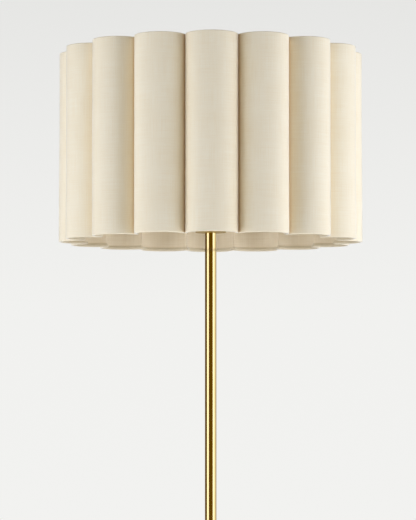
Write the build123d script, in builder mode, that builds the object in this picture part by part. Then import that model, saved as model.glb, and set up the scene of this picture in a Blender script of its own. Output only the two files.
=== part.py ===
from build123d import *
from math import acos, atan2, cos, hypot, radians, sin, sqrt, tan
import os

# Floor lamp: a scalloped fabric drum shade, carried by a harp above a brass pole on a round weighted base.
# Millimetres. +Z is up, the front is -Y, and the origin is on the floor under the pole.
# Threads are plain cylinders at their nominal diameter.

# Clearances
thread_gap = 0.05
running_gap = 0.05
slip_gap = 0.1
hole_gap = 0.3
seat_gap = 0.05
sleeve_gap = 0.08

# Small edges
eased_edge_radius = 0.8
thread_chamfer = 0.6

# Base
pad_radius = 145.0
pad_hole_radius = 30.0
pad_thickness = 2.0
weight_radius = 144.0
weight_thickness = 14.2
weight_edge_radius = 2.0
boss_radius = 30.0
well_radius = 23.0
well_depth = 10.6
channel_width = 12.0
channel_overrun = 1.0
cover_radius = 150.0
cover_wall = 1.2
cover_rim_height = 1.5
cover_corner_radius = 5.5
cover_dome_rise = 2.5
cover_over_weight = 0.6
collar_radius = 19.0
collar_floor = 4.0
collar_height = 12.0
collar_lip_height = 3.0
collar_neck_wall = 2.6

# Lead inlet
inlet_height = 7.5
inlet_bore_radius = 3.3
inlet_body_radius = 4.4
inlet_barb_radius = 5.2
inlet_barb_length = 1.2
inlet_flange_radius = 6.0
inlet_flange_thickness = 1.9
inlet_flange_round = 1.2
inlet_length = 11.0

# Pole
pole_radius = 9.525
pole_wall = 0.9
tube_length = 620.0
insert_length = 14.0
nipple_radius = 4.95
nipple_bore_radius = 3.25
nipple_engagement = 12.0
nipple_past_nut = 0.6
nipple_below_hub = 0.4
nut_across_flats = 14.3
nut_thickness = 4.5
lock_washer_radius = 8.0
lock_washer_thickness = 1.2
base_washer_radius = 15.0
base_washer_thickness = 1.5

# Neck and harp
neck_cap_radius = 25.4
neck_cap_thickness = 4.0
neck_cap_recess = 1.5
neck_cap_edge_radius = 1.2
saddle_thickness = 1.5
saddle_width = 16.0
saddle_span = 70.0
saddle_bend_radius = 3.0
ear_height = 17.0
tongue_width = 3.0
tongue_height = 6.0
wire_radius = 1.7
harp_height = 243.0
harp_half_width = 57.0
harp_leg_length = 34.0
harp_belly_height = 72.0
harp_shoulder_height = 140.0
harp_crown_half_width = 20.0
harp_bends = (14.0, 40.0, 70.0, 14.0)
sleeve_wall = 1.7
sleeve_length = 16.0
crown_length = 16.0
crown_width = 9.0
crown_below_wire = 3.5
crown_above_wire = 8.0
crown_corner_radius = 3.0
stud_radius = 3.175
stud_length = 16.0
stud_neck_radius = 2.25
stud_neck_length = 2.6
stud_barb_radius = 2.75
stud_barb_length = 1.8
stud_flange_radius = 6.0
stud_flange_thickness = 1.5

# Shade
flute_count = 16
shade_radius = 250.0
shade_height = 312.0
fabric_thickness = 0.7
seam_gap = 0.1
glue_gap = 0.1
liner_thickness = 0.5
liner_edge_gap = 0.6
ring_wire_radius = 1.2
ring_edge_gap = 1.0
hem_thickness = 0.5
hem_height = 5.6
hem_edge_gap = 0.4
spider_drop = 16.5
spider_wire_radius = 1.5
spider_washer_radius = 19.0
spider_washer_thickness = 1.5
spider_flat = 30.0
spider_bend_radius = 40.0
spider_slot_gap = 0.4

# Finial
finial_washer_radius = 8.0
finial_washer_thickness = 1.0
finial_foot_radius = 7.0
finial_foot_height = 3.0
finial_neck_radius = 4.6
finial_ball_radius = 8.5
finial_height = 25.0
finial_bore_spare = 1.0

# Socket
socket_hub_radius = 7.2
socket_hub_height = 5.0
socket_cap_radius = 17.2
socket_cap_wall = 0.7
socket_cap_cone_height = 10.0
socket_cap_height = 28.0
socket_shell_wall = 0.5
socket_shell_overlap = 8.0
socket_shell_length = 56.0
insulator_wall = 0.8
insulator_setback = 1.0
body_length = 23.0
body_radius = 14.7
switch_height = 14.0
terminal_height = 8.0
terminal_flat = 11.5
terminal_flat_width = 10.0
terminal_head_radius = 3.2
terminal_head_thickness = 2.0
terminal_shank_radius = 1.65
terminal_shank_length = 5.0
terminal_slot_width = 0.8
terminal_slot_depth = 0.8
screw_shell_wall = 0.4
screw_shell_length = 30.0
screw_shell_flange = 4.8
contact_width = 6.0
contact_thickness = 0.6
contact_foot_length = 4.0
contact_reach = 5.0
contact_rise = 4.7
contact_slope = 1.5
set_screw_radius = 1.3
set_screw_length = 3.2
set_screw_slot_width = 0.5
set_screw_slot_depth = 0.7
bush_flange_radius = 4.6
bush_flange_thickness = 1.2
bush_length = 6.0
bush_bore_radius = 2.6

# Switch
stem_radius = 2.0
stem_depth = 8.5
stem_reach = 24.0
switch_bush_radius = 4.2
switch_bush_length = 5.6
switch_seat = 13.9
knob_radius = 7.0
knob_length = 12.0
knob_end_radius = 1.5
knob_grooves = 12
knob_groove_radius = 0.9
knob_groove_outset = 0.3

# Bulb
tip_clearance = 0.3
tip_face_radius = 2.6
tip_radius = 4.0
tip_thickness = 1.2
bulb_insulator_height = 3.8
bulb_insulator_radius = 9.0
bulb_cap_radius = 13.1
bulb_cap_wall = 0.4
bulb_cap_height = 22.0
bulb_cap_cone_height = 3.0
bulb_neck_radius = 14.0
bulb_neck_above_cap = 6.0
bulb_glass_in_cap = 5.0
bulb_length = 110.0
bulb_radius = 30.0
bulb_glass = 0.9

# Heights up the lamp, each from the piece that carries it
weight_top = pad_thickness + weight_thickness
well_ceiling = pad_thickness + well_depth
cover_shoulder = weight_top + cover_over_weight + cover_wall
cover_top = cover_shoulder + cover_dome_rise
pole_foot = cover_top + collar_floor
pole_joint = pole_foot + tube_length
pole_top = pole_joint + tube_length
neck_cap_bottom = pole_top - neck_cap_recess
saddle_bottom = neck_cap_bottom + neck_cap_thickness
saddle_top = saddle_bottom + saddle_thickness
neck_nut_bottom = saddle_top + lock_washer_thickness
socket_bottom = neck_nut_bottom + nut_thickness
ear_shoulder = saddle_bottom + ear_height
harp_foot = ear_shoulder + tongue_height
harp_wire_top = harp_foot + harp_height
crown_top = harp_wire_top + crown_above_wire
spider_washer_bottom = crown_top + stud_flange_thickness
shade_top = spider_washer_bottom + spider_drop
shade_bottom = shade_top - shade_height
finial_washer_bottom = spider_washer_bottom + spider_washer_thickness
finial_bottom = finial_washer_bottom + finial_washer_thickness

# Heights inside the socket
socket_cap_top = socket_bottom + socket_cap_height
shell_bottom = socket_cap_top - socket_shell_overlap
shell_top = shell_bottom + socket_shell_length
body_bottom = shell_bottom + insulator_setback
body_top = body_bottom + body_length
switch_axis = body_bottom + switch_height
terminal_axis = body_bottom + terminal_height
tip_bottom = body_top + contact_rise + tip_clearance
bulb_insulator_bottom = tip_bottom + tip_thickness
bulb_cap_bottom = bulb_insulator_bottom + bulb_insulator_height
bulb_cap_top = bulb_cap_bottom + bulb_cap_height
bulb_centre = tip_bottom + bulb_length - bulb_radius

# Radii that follow from their neighbours
thread_bore_radius = nipple_radius + thread_gap
washer_bore_radius = nipple_radius + slip_gap
pole_bore_radius = pole_radius - pole_wall
sleeve_bore_radius = wire_radius + sleeve_gap
shell_radius = socket_cap_radius - socket_cap_wall - slip_gap
insulator_radius = shell_radius - socket_shell_wall - slip_gap
screw_shell_bore_radius = bulb_cap_radius + hole_gap + seat_gap

# Scallops: half circles whose ends meet at the valleys
half_angle = 180.0 / flute_count
flute_circle_radius = shade_radius / (1 + tan(radians(half_angle)))
flute_radius = shade_radius - flute_circle_radius
valley_radius = flute_circle_radius / cos(radians(half_angle))
liner_inset = fabric_thickness + glue_gap
ring_inset = liner_inset + liner_thickness + glue_gap + ring_wire_radius
hem_inset = ring_inset + ring_wire_radius + glue_gap

os.makedirs("parts", exist_ok=True)


def write(piece, name):
    """Label a finished piece and write its STEP file."""
    piece.part.label = name
    export_step(piece.part, f"parts/{name}.step")


def turned(*corners):
    """A piece turned about the lamp's axis from the (radius, height) corners of its section."""
    with BuildPart() as piece:
        with BuildSketch(Plane.XZ):
            with BuildLine():
                Polyline(*corners, close=True)
            make_face()
        revolve(axis=Axis.Z)
    return piece


def turned_ring(outer_radius, bore_radius, bottom, height):
    """A plain ring about the lamp's axis."""
    with BuildPart() as piece:
        with BuildSketch(Plane.XY.offset(bottom)):
            Circle(outer_radius)
            Circle(bore_radius, mode=Mode.SUBTRACT)
        extrude(amount=height)
    return piece


def threaded_nipple(bottom, top):
    """A length of threaded tube on the lamp's axis, its ends eased."""
    piece = turned_ring(nipple_radius, nipple_bore_radius, bottom, top - bottom)
    with piece:
        chamfer(piece.edges().filter_by(GeomType.CIRCLE).group_by(SortBy.RADIUS)[-1], length=thread_chamfer)
    return piece


def hex_nut(bottom):
    """A hexagon nut for the threaded tube."""
    with BuildPart() as piece:
        with BuildSketch(Plane.XY.offset(bottom)):
            RegularPolygon(nut_across_flats / 2, side_count=6, major_radius=False)
            Circle(thread_bore_radius, mode=Mode.SUBTRACT)
        extrude(amount=nut_thickness)
    return piece


def split_washer(bottom):
    """A lock washer with its cut."""
    piece = turned_ring(lock_washer_radius, washer_bore_radius, bottom, lock_washer_thickness)
    with piece:
        with BuildSketch(Plane.XY.offset(bottom)) as cut:
            with Locations((lock_washer_radius, 0)):
                Rectangle(lock_washer_radius, lock_washer_thickness)
        extrude(cut.sketch, amount=lock_washer_thickness, mode=Mode.SUBTRACT)
    return piece


def trace_scallops(inset):
    """Draw the shade's whole outline at a depth from its outer face: a half circle for each flute
    and, at any depth, a small arc about each valley's corner that joins two of them smoothly."""
    for k in range(flute_count):
        middle = 2 * half_angle * k
        valley = radians(middle + half_angle)
        flute = (flute_circle_radius * cos(radians(middle)), flute_circle_radius * sin(radians(middle)))
        CenterArc(flute, flute_radius - inset, middle - 90, 180)
        if inset > 0:
            corner = (valley_radius * cos(valley), valley_radius * sin(valley))
            CenterArc(corner, inset, middle + 270, 2 * half_angle - 180)


def scalloped_wall(inset, thickness, bottom, height):
    """A wall that follows the scallops all round."""
    with BuildPart() as piece:
        with BuildSketch(Plane.XY.offset(bottom)):
            with BuildLine():
                trace_scallops(inset)
            make_face()
            with BuildLine():
                trace_scallops(inset + thickness)
            make_face(mode=Mode.SUBTRACT)
        extrude(amount=height)
    return piece


def slot_at_valleys(piece, count, width, bottom, height):
    """Cut slots through a scalloped wall, at count valleys evenly round it."""
    with piece:
        with BuildSketch(Plane.XY.offset(bottom)) as slots:
            with PolarLocations(valley_radius, count, half_angle):
                Rectangle(flute_radius, width)
        extrude(slots.sketch, amount=height, mode=Mode.SUBTRACT)


def scalloped_ring(height):
    """A wire ring that follows the scallops just inside the liner."""
    with BuildPart() as piece:
        with BuildLine(Plane.XY.offset(height)) as path:
            trace_scallops(ring_inset)
        start = path.wire() @ 0
        with BuildSketch(Plane(origin=start, z_dir=path.wire() % 0)):
            Circle(ring_wire_radius)
        sweep(path=path.wire())
    return piece


# Base pad
base_pad = turned_ring(pad_radius, pad_hole_radius, 0, pad_thickness)
write(base_pad, "base_pad")


# Base cover
def dome_height(radius):
    """Height of the cover's outer face at a radius on its shallow dome."""
    span = cover_radius - cover_corner_radius
    sphere = (span**2 + cover_dome_rise**2) / (2 * cover_dome_rise)
    return cover_top - sphere + sqrt(sphere**2 - radius**2)


cover_hole_radius = washer_bore_radius + seat_gap
corner_centre = (cover_radius - cover_corner_radius, cover_shoulder - cover_corner_radius)
dome_middle = (corner_centre[0] + cover_hole_radius) / 2
with BuildPart() as base_cover:
    with BuildSketch(Plane.XZ):
        with BuildLine():
            Line((cover_radius, cover_rim_height), (cover_radius, corner_centre[1]))
            CenterArc(corner_centre, cover_corner_radius, 0, 90)
            ThreePointArc(
                (corner_centre[0], cover_shoulder),
                (dome_middle, dome_height(dome_middle)),
                (cover_hole_radius, dome_height(cover_hole_radius)),
            )
            Line(
                (cover_hole_radius, dome_height(cover_hole_radius)),
                (cover_hole_radius, dome_height(cover_hole_radius) - cover_wall),
            )
            ThreePointArc(
                (cover_hole_radius, dome_height(cover_hole_radius) - cover_wall),
                (dome_middle, dome_height(dome_middle) - cover_wall),
                (corner_centre[0], cover_shoulder - cover_wall),
            )
            CenterArc(corner_centre, cover_corner_radius - cover_wall, 90, -90)
            Line(
                (cover_radius - cover_wall, corner_centre[1]),
                (cover_radius - cover_wall, cover_rim_height),
            )
            Line((cover_radius - cover_wall, cover_rim_height), (cover_radius, cover_rim_height))
        make_face()
    revolve(axis=Axis.Z)
    with BuildSketch(Plane.XZ):
        with Locations((0, inlet_height)):
            Circle(inlet_body_radius + slip_gap)
    extrude(amount=-cover_radius - cover_wall, mode=Mode.SUBTRACT)
write(base_cover, "base_cover")

# Cast weight with its boss, its well for the nut and its channel for the lead
boss_top = dome_height(boss_radius) - cover_wall - seat_gap
with BuildPart() as base_weight:
    with BuildSketch(Plane.XY.offset(pad_thickness)):
        Circle(weight_radius)
    extrude(amount=weight_thickness)
    fillet(base_weight.edges().group_by(Axis.Z)[-1], radius=weight_edge_radius)
    with BuildSketch(Plane.XY.offset(weight_top)):
        Circle(boss_radius)
    extrude(amount=boss_top - weight_top)
    with BuildSketch(Plane.XY.offset(pad_thickness)):
        Circle(well_radius)
        Rectangle(channel_width, weight_radius + channel_overrun, align=(Align.CENTER, Align.MIN))
    extrude(amount=well_depth, mode=Mode.SUBTRACT)
    with BuildSketch(Plane.XY.offset(well_ceiling)):
        Circle(nipple_radius + hole_gap)
    extrude(amount=boss_top - well_ceiling, mode=Mode.SUBTRACT)
write(base_weight, "base_weight")

# Base fasteners, hung from the ceiling of the well
base_washer_bottom = well_ceiling - base_washer_thickness
base_lock_washer_bottom = base_washer_bottom - lock_washer_thickness
base_nut_bottom = base_lock_washer_bottom - nut_thickness
base_washer = turned_ring(base_washer_radius, washer_bore_radius, base_washer_bottom, base_washer_thickness)
base_lock_washer = split_washer(base_lock_washer_bottom)
base_nut = hex_nut(base_nut_bottom)
base_nipple = threaded_nipple(base_nut_bottom - nipple_past_nut, pole_foot + nipple_engagement)
write(base_washer, "base_washer")
write(base_lock_washer, "base_lock_washer")
write(base_nut, "base_nut")
write(base_nipple, "base_nipple")

# Collar at the foot of the pole: a lip, a cove and a neck
collar_neck_radius = pole_radius + slip_gap + collar_neck_wall
collar_top = cover_top + collar_height
cove_radius = collar_radius - collar_neck_radius
with BuildPart() as base_collar:
    with BuildSketch(Plane.XZ):
        with BuildLine():
            Polyline(
                (washer_bore_radius, cover_top),
                (collar_radius, cover_top),
                (collar_radius, cover_top + collar_lip_height),
            )
            CenterArc((collar_radius, cover_top + collar_lip_height + cove_radius), cove_radius, 270, -90)
            Polyline(
                (collar_neck_radius, cover_top + collar_lip_height + cove_radius),
                (collar_neck_radius, collar_top),
                (pole_radius + slip_gap, collar_top),
                (pole_radius + slip_gap, pole_foot),
                (washer_bore_radius, pole_foot),
                (washer_bore_radius, cover_top),
            )
        make_face()
    revolve(axis=Axis.Z)
    fillet(base_collar.edges().group_by(Axis.Z)[-1].group_by(SortBy.RADIUS)[-1], radius=eased_edge_radius)
    fillet(
        base_collar.edges().filter_by(GeomType.CIRCLE).group_by(SortBy.RADIUS)[-1][-1],
        radius=eased_edge_radius,
    )
write(base_collar, "base_collar")

# Bush where the lead enters the base, snapped into the cover's wall at the back
inlet_face = cover_radius + seat_gap
with BuildPart() as cord_bushing:
    with BuildSketch(Plane.XZ.offset(-inlet_face)):
        with Locations((0, inlet_height)):
            Circle(inlet_flange_radius)
    extrude(amount=-inlet_flange_thickness)
    fillet(cord_bushing.edges().group_by(Axis.Y)[-1], radius=inlet_flange_round)
    with BuildSketch(Plane.XZ.offset(-inlet_face)):
        with Locations((0, inlet_height)):
            Circle(inlet_body_radius)
    extrude(amount=inlet_length - inlet_flange_thickness)
    with BuildSketch(Plane.XZ.offset(-cover_radius + cover_wall + 2 * hole_gap)):
        with Locations((0, inlet_height)):
            Circle(inlet_barb_radius)
    extrude(amount=inlet_barb_length)
    with BuildSketch(Plane.XZ.offset(-inlet_face - inlet_flange_thickness)):
        with Locations((0, inlet_height)):
            Circle(inlet_bore_radius)
    extrude(amount=inlet_length, mode=Mode.SUBTRACT)
write(cord_bushing, "cord_bushing")

# Pole tubes, the threaded inserts pressed into their ends, and the studs that join them
pole_lower = turned_ring(pole_radius, pole_bore_radius, pole_foot, tube_length)
pole_upper = turned_ring(pole_radius, pole_bore_radius, pole_joint, tube_length)
write(pole_lower, "pole_lower")
write(pole_upper, "pole_upper")

with BuildPart() as pole_inserts:
    for bottom in (pole_foot, pole_joint - insert_length - seat_gap, pole_joint, pole_top - insert_length):
        with BuildSketch(Plane.XY.offset(bottom)):
            Circle(pole_bore_radius - seat_gap)
            Circle(thread_bore_radius, mode=Mode.SUBTRACT)
        extrude(amount=insert_length)
write(pole_inserts, "pole_inserts")

pole_stud = threaded_nipple(pole_joint - nipple_engagement, pole_joint + nipple_engagement)
write(pole_stud, "pole_stud")

# Neck: disc, nipple, saddle and the nut that clamps them
with BuildPart() as neck_cap:
    with BuildSketch(Plane.XY.offset(neck_cap_bottom)):
        Circle(neck_cap_radius)
        Circle(washer_bore_radius, mode=Mode.SUBTRACT)
    extrude(amount=neck_cap_thickness)
    fillet(
        neck_cap.edges().filter_by(GeomType.CIRCLE).group_by(SortBy.RADIUS)[-1],
        radius=neck_cap_edge_radius,
    )
    with BuildSketch(Plane.XY.offset(neck_cap_bottom)):
        Circle(pole_radius + slip_gap)
    extrude(amount=neck_cap_recess, mode=Mode.SUBTRACT)
write(neck_cap, "neck_cap")

neck_nipple_top = socket_bottom + socket_hub_height - nipple_below_hub
neck_nipple = threaded_nipple(pole_top - nipple_engagement, neck_nipple_top)
neck_lock_washer = split_washer(saddle_top)
neck_nut = hex_nut(neck_nut_bottom)
write(neck_nipple, "neck_nipple")
write(neck_lock_washer, "neck_lock_washer")
write(neck_nut, "neck_nut")

# Harp saddle: a strip bent up into two ears, each with a tongue that the harp stands on
leg_x = saddle_span / 2
ear_outside = leg_x + saddle_thickness / 2
ear_inside = leg_x - saddle_thickness / 2
with BuildPart() as harp_saddle:
    with BuildSketch(Plane.XZ):
        with BuildLine():
            FilletPolyline(
                (-ear_outside, ear_shoulder),
                (-ear_outside, saddle_bottom),
                (ear_outside, saddle_bottom),
                (ear_outside, ear_shoulder),
                radius=saddle_bend_radius + saddle_thickness,
            )
            Line((ear_outside, ear_shoulder), (ear_inside, ear_shoulder))
            FilletPolyline(
                (ear_inside, ear_shoulder),
                (ear_inside, saddle_top),
                (-ear_inside, saddle_top),
                (-ear_inside, ear_shoulder),
                radius=saddle_bend_radius,
            )
            Line((-ear_inside, ear_shoulder), (-ear_outside, ear_shoulder))
        make_face()
    extrude(amount=saddle_width / 2, both=True)
    with BuildSketch(Plane.XY.offset(saddle_bottom)):
        Circle(washer_bore_radius)
    extrude(amount=saddle_thickness, mode=Mode.SUBTRACT)
    with BuildSketch(Plane.XY.offset(ear_shoulder)):
        with Locations((-leg_x, 0), (leg_x, 0)):
            Rectangle(saddle_thickness, tongue_width)
    extrude(amount=tongue_height)
write(harp_saddle, "harp_saddle")

# Harp wire, drawn on one side and mirrored, with a straight run through the crown
harp_side = (
    (leg_x, harp_foot),
    (leg_x, harp_foot + harp_leg_length),
    (harp_half_width, harp_foot + harp_belly_height),
    (harp_half_width, harp_foot + harp_shoulder_height),
    (harp_crown_half_width, harp_wire_top),
)
harp_points = [*harp_side, *[(-x, z) for x, z in reversed(harp_side)]]
harp_radii = [*harp_bends, *reversed(harp_bends)]
with BuildPart() as harp_wire:
    with BuildLine(Plane.XZ) as harp_path:
        FilletPolyline(*harp_points, radius=harp_radii)
    with BuildSketch(Plane.XY.offset(harp_foot)):
        with Locations((leg_x, 0)):
            Circle(wire_radius)
    sweep(path=harp_path.wire())
write(harp_wire, "harp_wire")

# Sleeves that cover the joints between harp and saddle
for name, side in (("sleeve_left", -1), ("sleeve_right", 1)):
    with BuildPart() as sleeve:
        with BuildSketch(Plane.XY.offset(ear_shoulder)):
            with Locations((side * leg_x, 0)):
                Circle(sleeve_bore_radius + sleeve_wall)
                Circle(sleeve_bore_radius, mode=Mode.SUBTRACT)
        extrude(amount=sleeve_length)
        fillet(sleeve.edges().group_by(Axis.Z)[-1].group_by(SortBy.RADIUS)[-1], radius=eased_edge_radius)
    write(sleeve, name)

# Crown on the top of the wire, hollowed for the stud's swivel
barb_bottom = crown_top - stud_neck_length - stud_barb_length
with BuildPart() as harp_crown:
    with BuildSketch(Plane.XY.offset(harp_wire_top - crown_below_wire)):
        RectangleRounded(crown_length, crown_width, crown_corner_radius)
    extrude(amount=crown_below_wire + crown_above_wire)
    fillet(harp_crown.edges().group_by(Axis.Z)[-1], radius=eased_edge_radius)
    with BuildSketch(Plane.YZ.offset(-crown_length)):
        with Locations((0, harp_wire_top)):
            Circle(wire_radius + seat_gap)
    extrude(amount=2 * crown_length, mode=Mode.SUBTRACT)
    with BuildSketch(Plane.XY.offset(barb_bottom - slip_gap)):
        Circle(stud_barb_radius + running_gap)
    extrude(amount=stud_barb_length + 2 * slip_gap, mode=Mode.SUBTRACT)
    with BuildSketch(Plane.XY.offset(barb_bottom)):
        Circle(stud_neck_radius + running_gap)
    extrude(amount=crown_top - barb_bottom, mode=Mode.SUBTRACT)
write(harp_crown, "harp_crown")

# Swivel stud: barb and neck in the crown, flange on it, thread above
stud_top = spider_washer_bottom + stud_length
harp_stud = turned(
    (0, barb_bottom),
    (stud_barb_radius, barb_bottom),
    (stud_barb_radius, barb_bottom + stud_barb_length),
    (stud_neck_radius, barb_bottom + stud_barb_length),
    (stud_neck_radius, crown_top),
    (stud_flange_radius, crown_top),
    (stud_flange_radius, spider_washer_bottom),
    (stud_radius, spider_washer_bottom),
    (stud_radius, stud_top - thread_chamfer),
    (stud_radius - thread_chamfer, stud_top),
    (0, stud_top),
)
write(harp_stud, "harp_stud")

# Shade covering: one half-round panel for each flute, with a seam at each valley
shade_panels = scalloped_wall(0, fabric_thickness, shade_bottom, shade_height)
slot_at_valleys(shade_panels, flute_count, seam_gap, shade_bottom, shade_height)
write(shade_panels, "shade_panels")

# Liner strips behind the panels, a little shorter than them
liner_bottom = shade_bottom + liner_edge_gap
liner_height = shade_height - 2 * liner_edge_gap
shade_liner = scalloped_wall(liner_inset, liner_thickness, liner_bottom, liner_height)
slot_at_valleys(shade_liner, flute_count, seam_gap, liner_bottom, liner_height)
write(shade_liner, "shade_liner")

# Wire rings inside the hems
ring_top_height = shade_top - ring_edge_gap - ring_wire_radius
ring_bottom_height = shade_bottom + ring_edge_gap + ring_wire_radius
ring_top = scalloped_ring(ring_top_height)
ring_bottom = scalloped_ring(ring_bottom_height)
write(ring_top, "ring_top")
write(ring_bottom, "ring_bottom")

# Hems over the rings, the upper one slotted for the spider's arms
spider_arm_count = 4
hem_top_bottom = shade_top - hem_edge_gap - hem_height
hem_bottom = scalloped_wall(hem_inset, hem_thickness, shade_bottom + hem_edge_gap, hem_height)
hem_top = scalloped_wall(hem_inset, hem_thickness, hem_top_bottom, hem_height)
slot_bottom = ring_top_height - spider_wire_radius - spider_slot_gap
slot_at_valleys(
    hem_top,
    spider_arm_count,
    2 * (spider_wire_radius + spider_slot_gap),
    slot_bottom,
    shade_top - slot_bottom,
)
write(hem_bottom, "hem_bottom")
write(hem_top, "hem_top")

# Spider: a washer on the stud and four arms that climb to the top ring at every fourth valley
spider_washer_middle = spider_washer_bottom + spider_washer_thickness / 2
arm_end = valley_radius - ring_inset - ring_wire_radius - slip_gap
arm_plane = Plane(origin=(0, 0, 0), x_dir=Vector(1, 0, 0).rotate(Axis.Z, half_angle), z_dir=(0, 0, 1))
arm_side_plane = Plane(origin=(0, 0, 0), x_dir=arm_plane.x_dir, z_dir=-arm_plane.y_dir)
with BuildPart() as shade_spider:
    with BuildSketch(Plane.XY.offset(spider_washer_bottom)):
        Circle(spider_washer_radius)
        Circle(stud_radius + hole_gap, mode=Mode.SUBTRACT)
    extrude(amount=spider_washer_thickness)
    with BuildLine(arm_side_plane) as arm_path:
        FilletPolyline(
            (spider_washer_radius - spider_wire_radius, spider_washer_middle),
            (spider_washer_radius + spider_flat, spider_washer_middle),
            (arm_end - spider_flat, ring_top_height),
            (arm_end, ring_top_height),
            radius=spider_bend_radius,
        )
    with BuildSketch(Plane(origin=arm_path.wire() @ 0, z_dir=arm_path.wire() % 0)) as arm_section:
        Circle(spider_wire_radius)
    arm = sweep(arm_section.sketch, path=arm_path.wire(), mode=Mode.PRIVATE)
    with PolarLocations(0, spider_arm_count):
        add(arm)
write(shade_spider, "shade_spider")

# Finial: a washer, and a knob with a foot, a neck and a ball
finial_washer = turned_ring(
    finial_washer_radius,
    stud_radius + hole_gap,
    finial_washer_bottom,
    finial_washer_thickness,
)
write(finial_washer, "finial_washer")

finial_top = finial_bottom + finial_height
ball_centre = finial_top - finial_ball_radius
ball_join = ball_centre - sqrt(finial_ball_radius**2 - finial_neck_radius**2)
foot_round = finial_foot_height / 2
foot_top = finial_bottom + finial_foot_height
with BuildPart() as finial_knob:
    with BuildSketch(Plane.XZ):
        with BuildLine():
            Line((0, finial_bottom), (finial_foot_radius - foot_round, finial_bottom))
            CenterArc((finial_foot_radius - foot_round, finial_bottom + foot_round), foot_round, -90, 180)
            Polyline(
                (finial_foot_radius - foot_round, foot_top),
                (finial_neck_radius, foot_top),
                (finial_neck_radius, ball_join),
            )
            ThreePointArc(
                (finial_neck_radius, ball_join),
                (finial_ball_radius, ball_centre),
                (0, finial_top),
            )
            Line((0, finial_top), (0, finial_bottom))
        make_face()
    revolve(axis=Axis.Z)
    with BuildSketch(Plane.XY.offset(finial_bottom)):
        Circle(stud_radius + thread_gap)
    extrude(amount=stud_top - finial_bottom + finial_bore_spare, mode=Mode.SUBTRACT)
write(finial_knob, "finial_knob")

# Socket cap: a hub that screws on the nipple and opens into a cup
cup_inner_radius = socket_cap_radius - socket_cap_wall
hub_top = socket_bottom + socket_hub_height
cup_bottom = hub_top + socket_cap_cone_height
set_screw_axis = socket_bottom + socket_hub_height / 2
socket_cap = turned(
    (thread_bore_radius, socket_bottom),
    (socket_hub_radius, socket_bottom),
    (socket_hub_radius, hub_top),
    (socket_cap_radius, cup_bottom),
    (socket_cap_radius, socket_cap_top),
    (cup_inner_radius, socket_cap_top),
    (cup_inner_radius, cup_bottom + socket_cap_wall / 2),
    (socket_hub_radius, hub_top + 2 * socket_cap_wall),
    (thread_bore_radius, hub_top + 2 * socket_cap_wall),
)
with socket_cap:
    with BuildSketch(Plane.YZ.offset(nipple_radius)) as hub_hole:
        with Locations((0, set_screw_axis)):
            Circle(set_screw_radius + thread_gap)
    extrude(hub_hole.sketch, amount=socket_hub_radius, mode=Mode.SUBTRACT)
write(socket_cap, "socket_cap")

with BuildPart() as socket_set_screw:
    with BuildSketch(Plane.YZ.offset(nipple_radius + seat_gap)):
        with Locations((0, set_screw_axis)):
            Circle(set_screw_radius)
    extrude(amount=set_screw_length)
    with BuildSketch(Plane.YZ.offset(nipple_radius + seat_gap + set_screw_length)):
        with Locations((0, set_screw_axis)):
            Rectangle(2 * set_screw_radius, set_screw_slot_width)
    extrude(amount=-set_screw_slot_depth, mode=Mode.SUBTRACT)
write(socket_set_screw, "socket_set_screw")

# Bush that keeps the lead off the nipple's edge
nipple_bush_bottom = neck_nipple_top - bush_length
nipple_bush = turned(
    (bush_bore_radius, nipple_bush_bottom),
    (nipple_bore_radius - slip_gap, nipple_bush_bottom),
    (nipple_bore_radius - slip_gap, neck_nipple_top),
    (bush_flange_radius, neck_nipple_top),
    (bush_flange_radius, neck_nipple_top + bush_flange_thickness),
    (bush_bore_radius, neck_nipple_top + bush_flange_thickness),
)
write(nipple_bush, "nipple_bush")


def sleeve_with_switch_hole(outer_radius, wall, bottom, top):
    """A tube inside the socket, with a hole at the front for the switch's bush."""
    piece = turned_ring(outer_radius, outer_radius - wall, bottom, top - bottom)
    with piece:
        with BuildSketch(Plane.XZ) as front_hole:
            with Locations((0, switch_axis)):
                Circle(switch_bush_radius + hole_gap)
        extrude(front_hole.sketch, amount=outer_radius, mode=Mode.SUBTRACT)
    return piece


# Socket shell and its paper insulator
socket_shell = sleeve_with_switch_hole(shell_radius, socket_shell_wall, shell_bottom, shell_top)
socket_insulator = sleeve_with_switch_hole(
    insulator_radius,
    insulator_wall,
    shell_bottom + insulator_setback,
    shell_top - insulator_setback,
)
write(socket_shell, "socket_shell")
write(socket_insulator, "socket_insulator")

# Socket body, with flats for the terminals and for the switch's bush
with BuildPart() as socket_body:
    with BuildSketch(Plane.XY.offset(body_bottom)):
        Circle(body_radius)
    extrude(amount=body_length)
    with BuildSketch(Plane.XZ.offset(switch_seat)):
        with Locations((0, switch_axis)):
            Circle(switch_bush_radius + hole_gap)
    extrude(amount=body_radius, mode=Mode.SUBTRACT)
    with BuildSketch(Plane.XZ.offset(switch_seat - stem_depth)):
        with Locations((0, switch_axis)):
            Circle(stem_radius + running_gap)
    extrude(amount=body_radius, mode=Mode.SUBTRACT)
    for side in (-1, 1):
        with BuildSketch(Plane.YZ.offset(side * terminal_flat)):
            with Locations((0, terminal_axis)):
                Rectangle(terminal_flat_width, terminal_flat_width)
        extrude(amount=side * body_radius, mode=Mode.SUBTRACT)
        with BuildSketch(Plane.YZ.offset(side * terminal_flat)):
            with Locations((0, terminal_axis)):
                Circle(terminal_shank_radius + thread_gap)
        extrude(amount=-side * (terminal_shank_length + slip_gap), mode=Mode.SUBTRACT)
write(socket_body, "socket_body")

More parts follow.
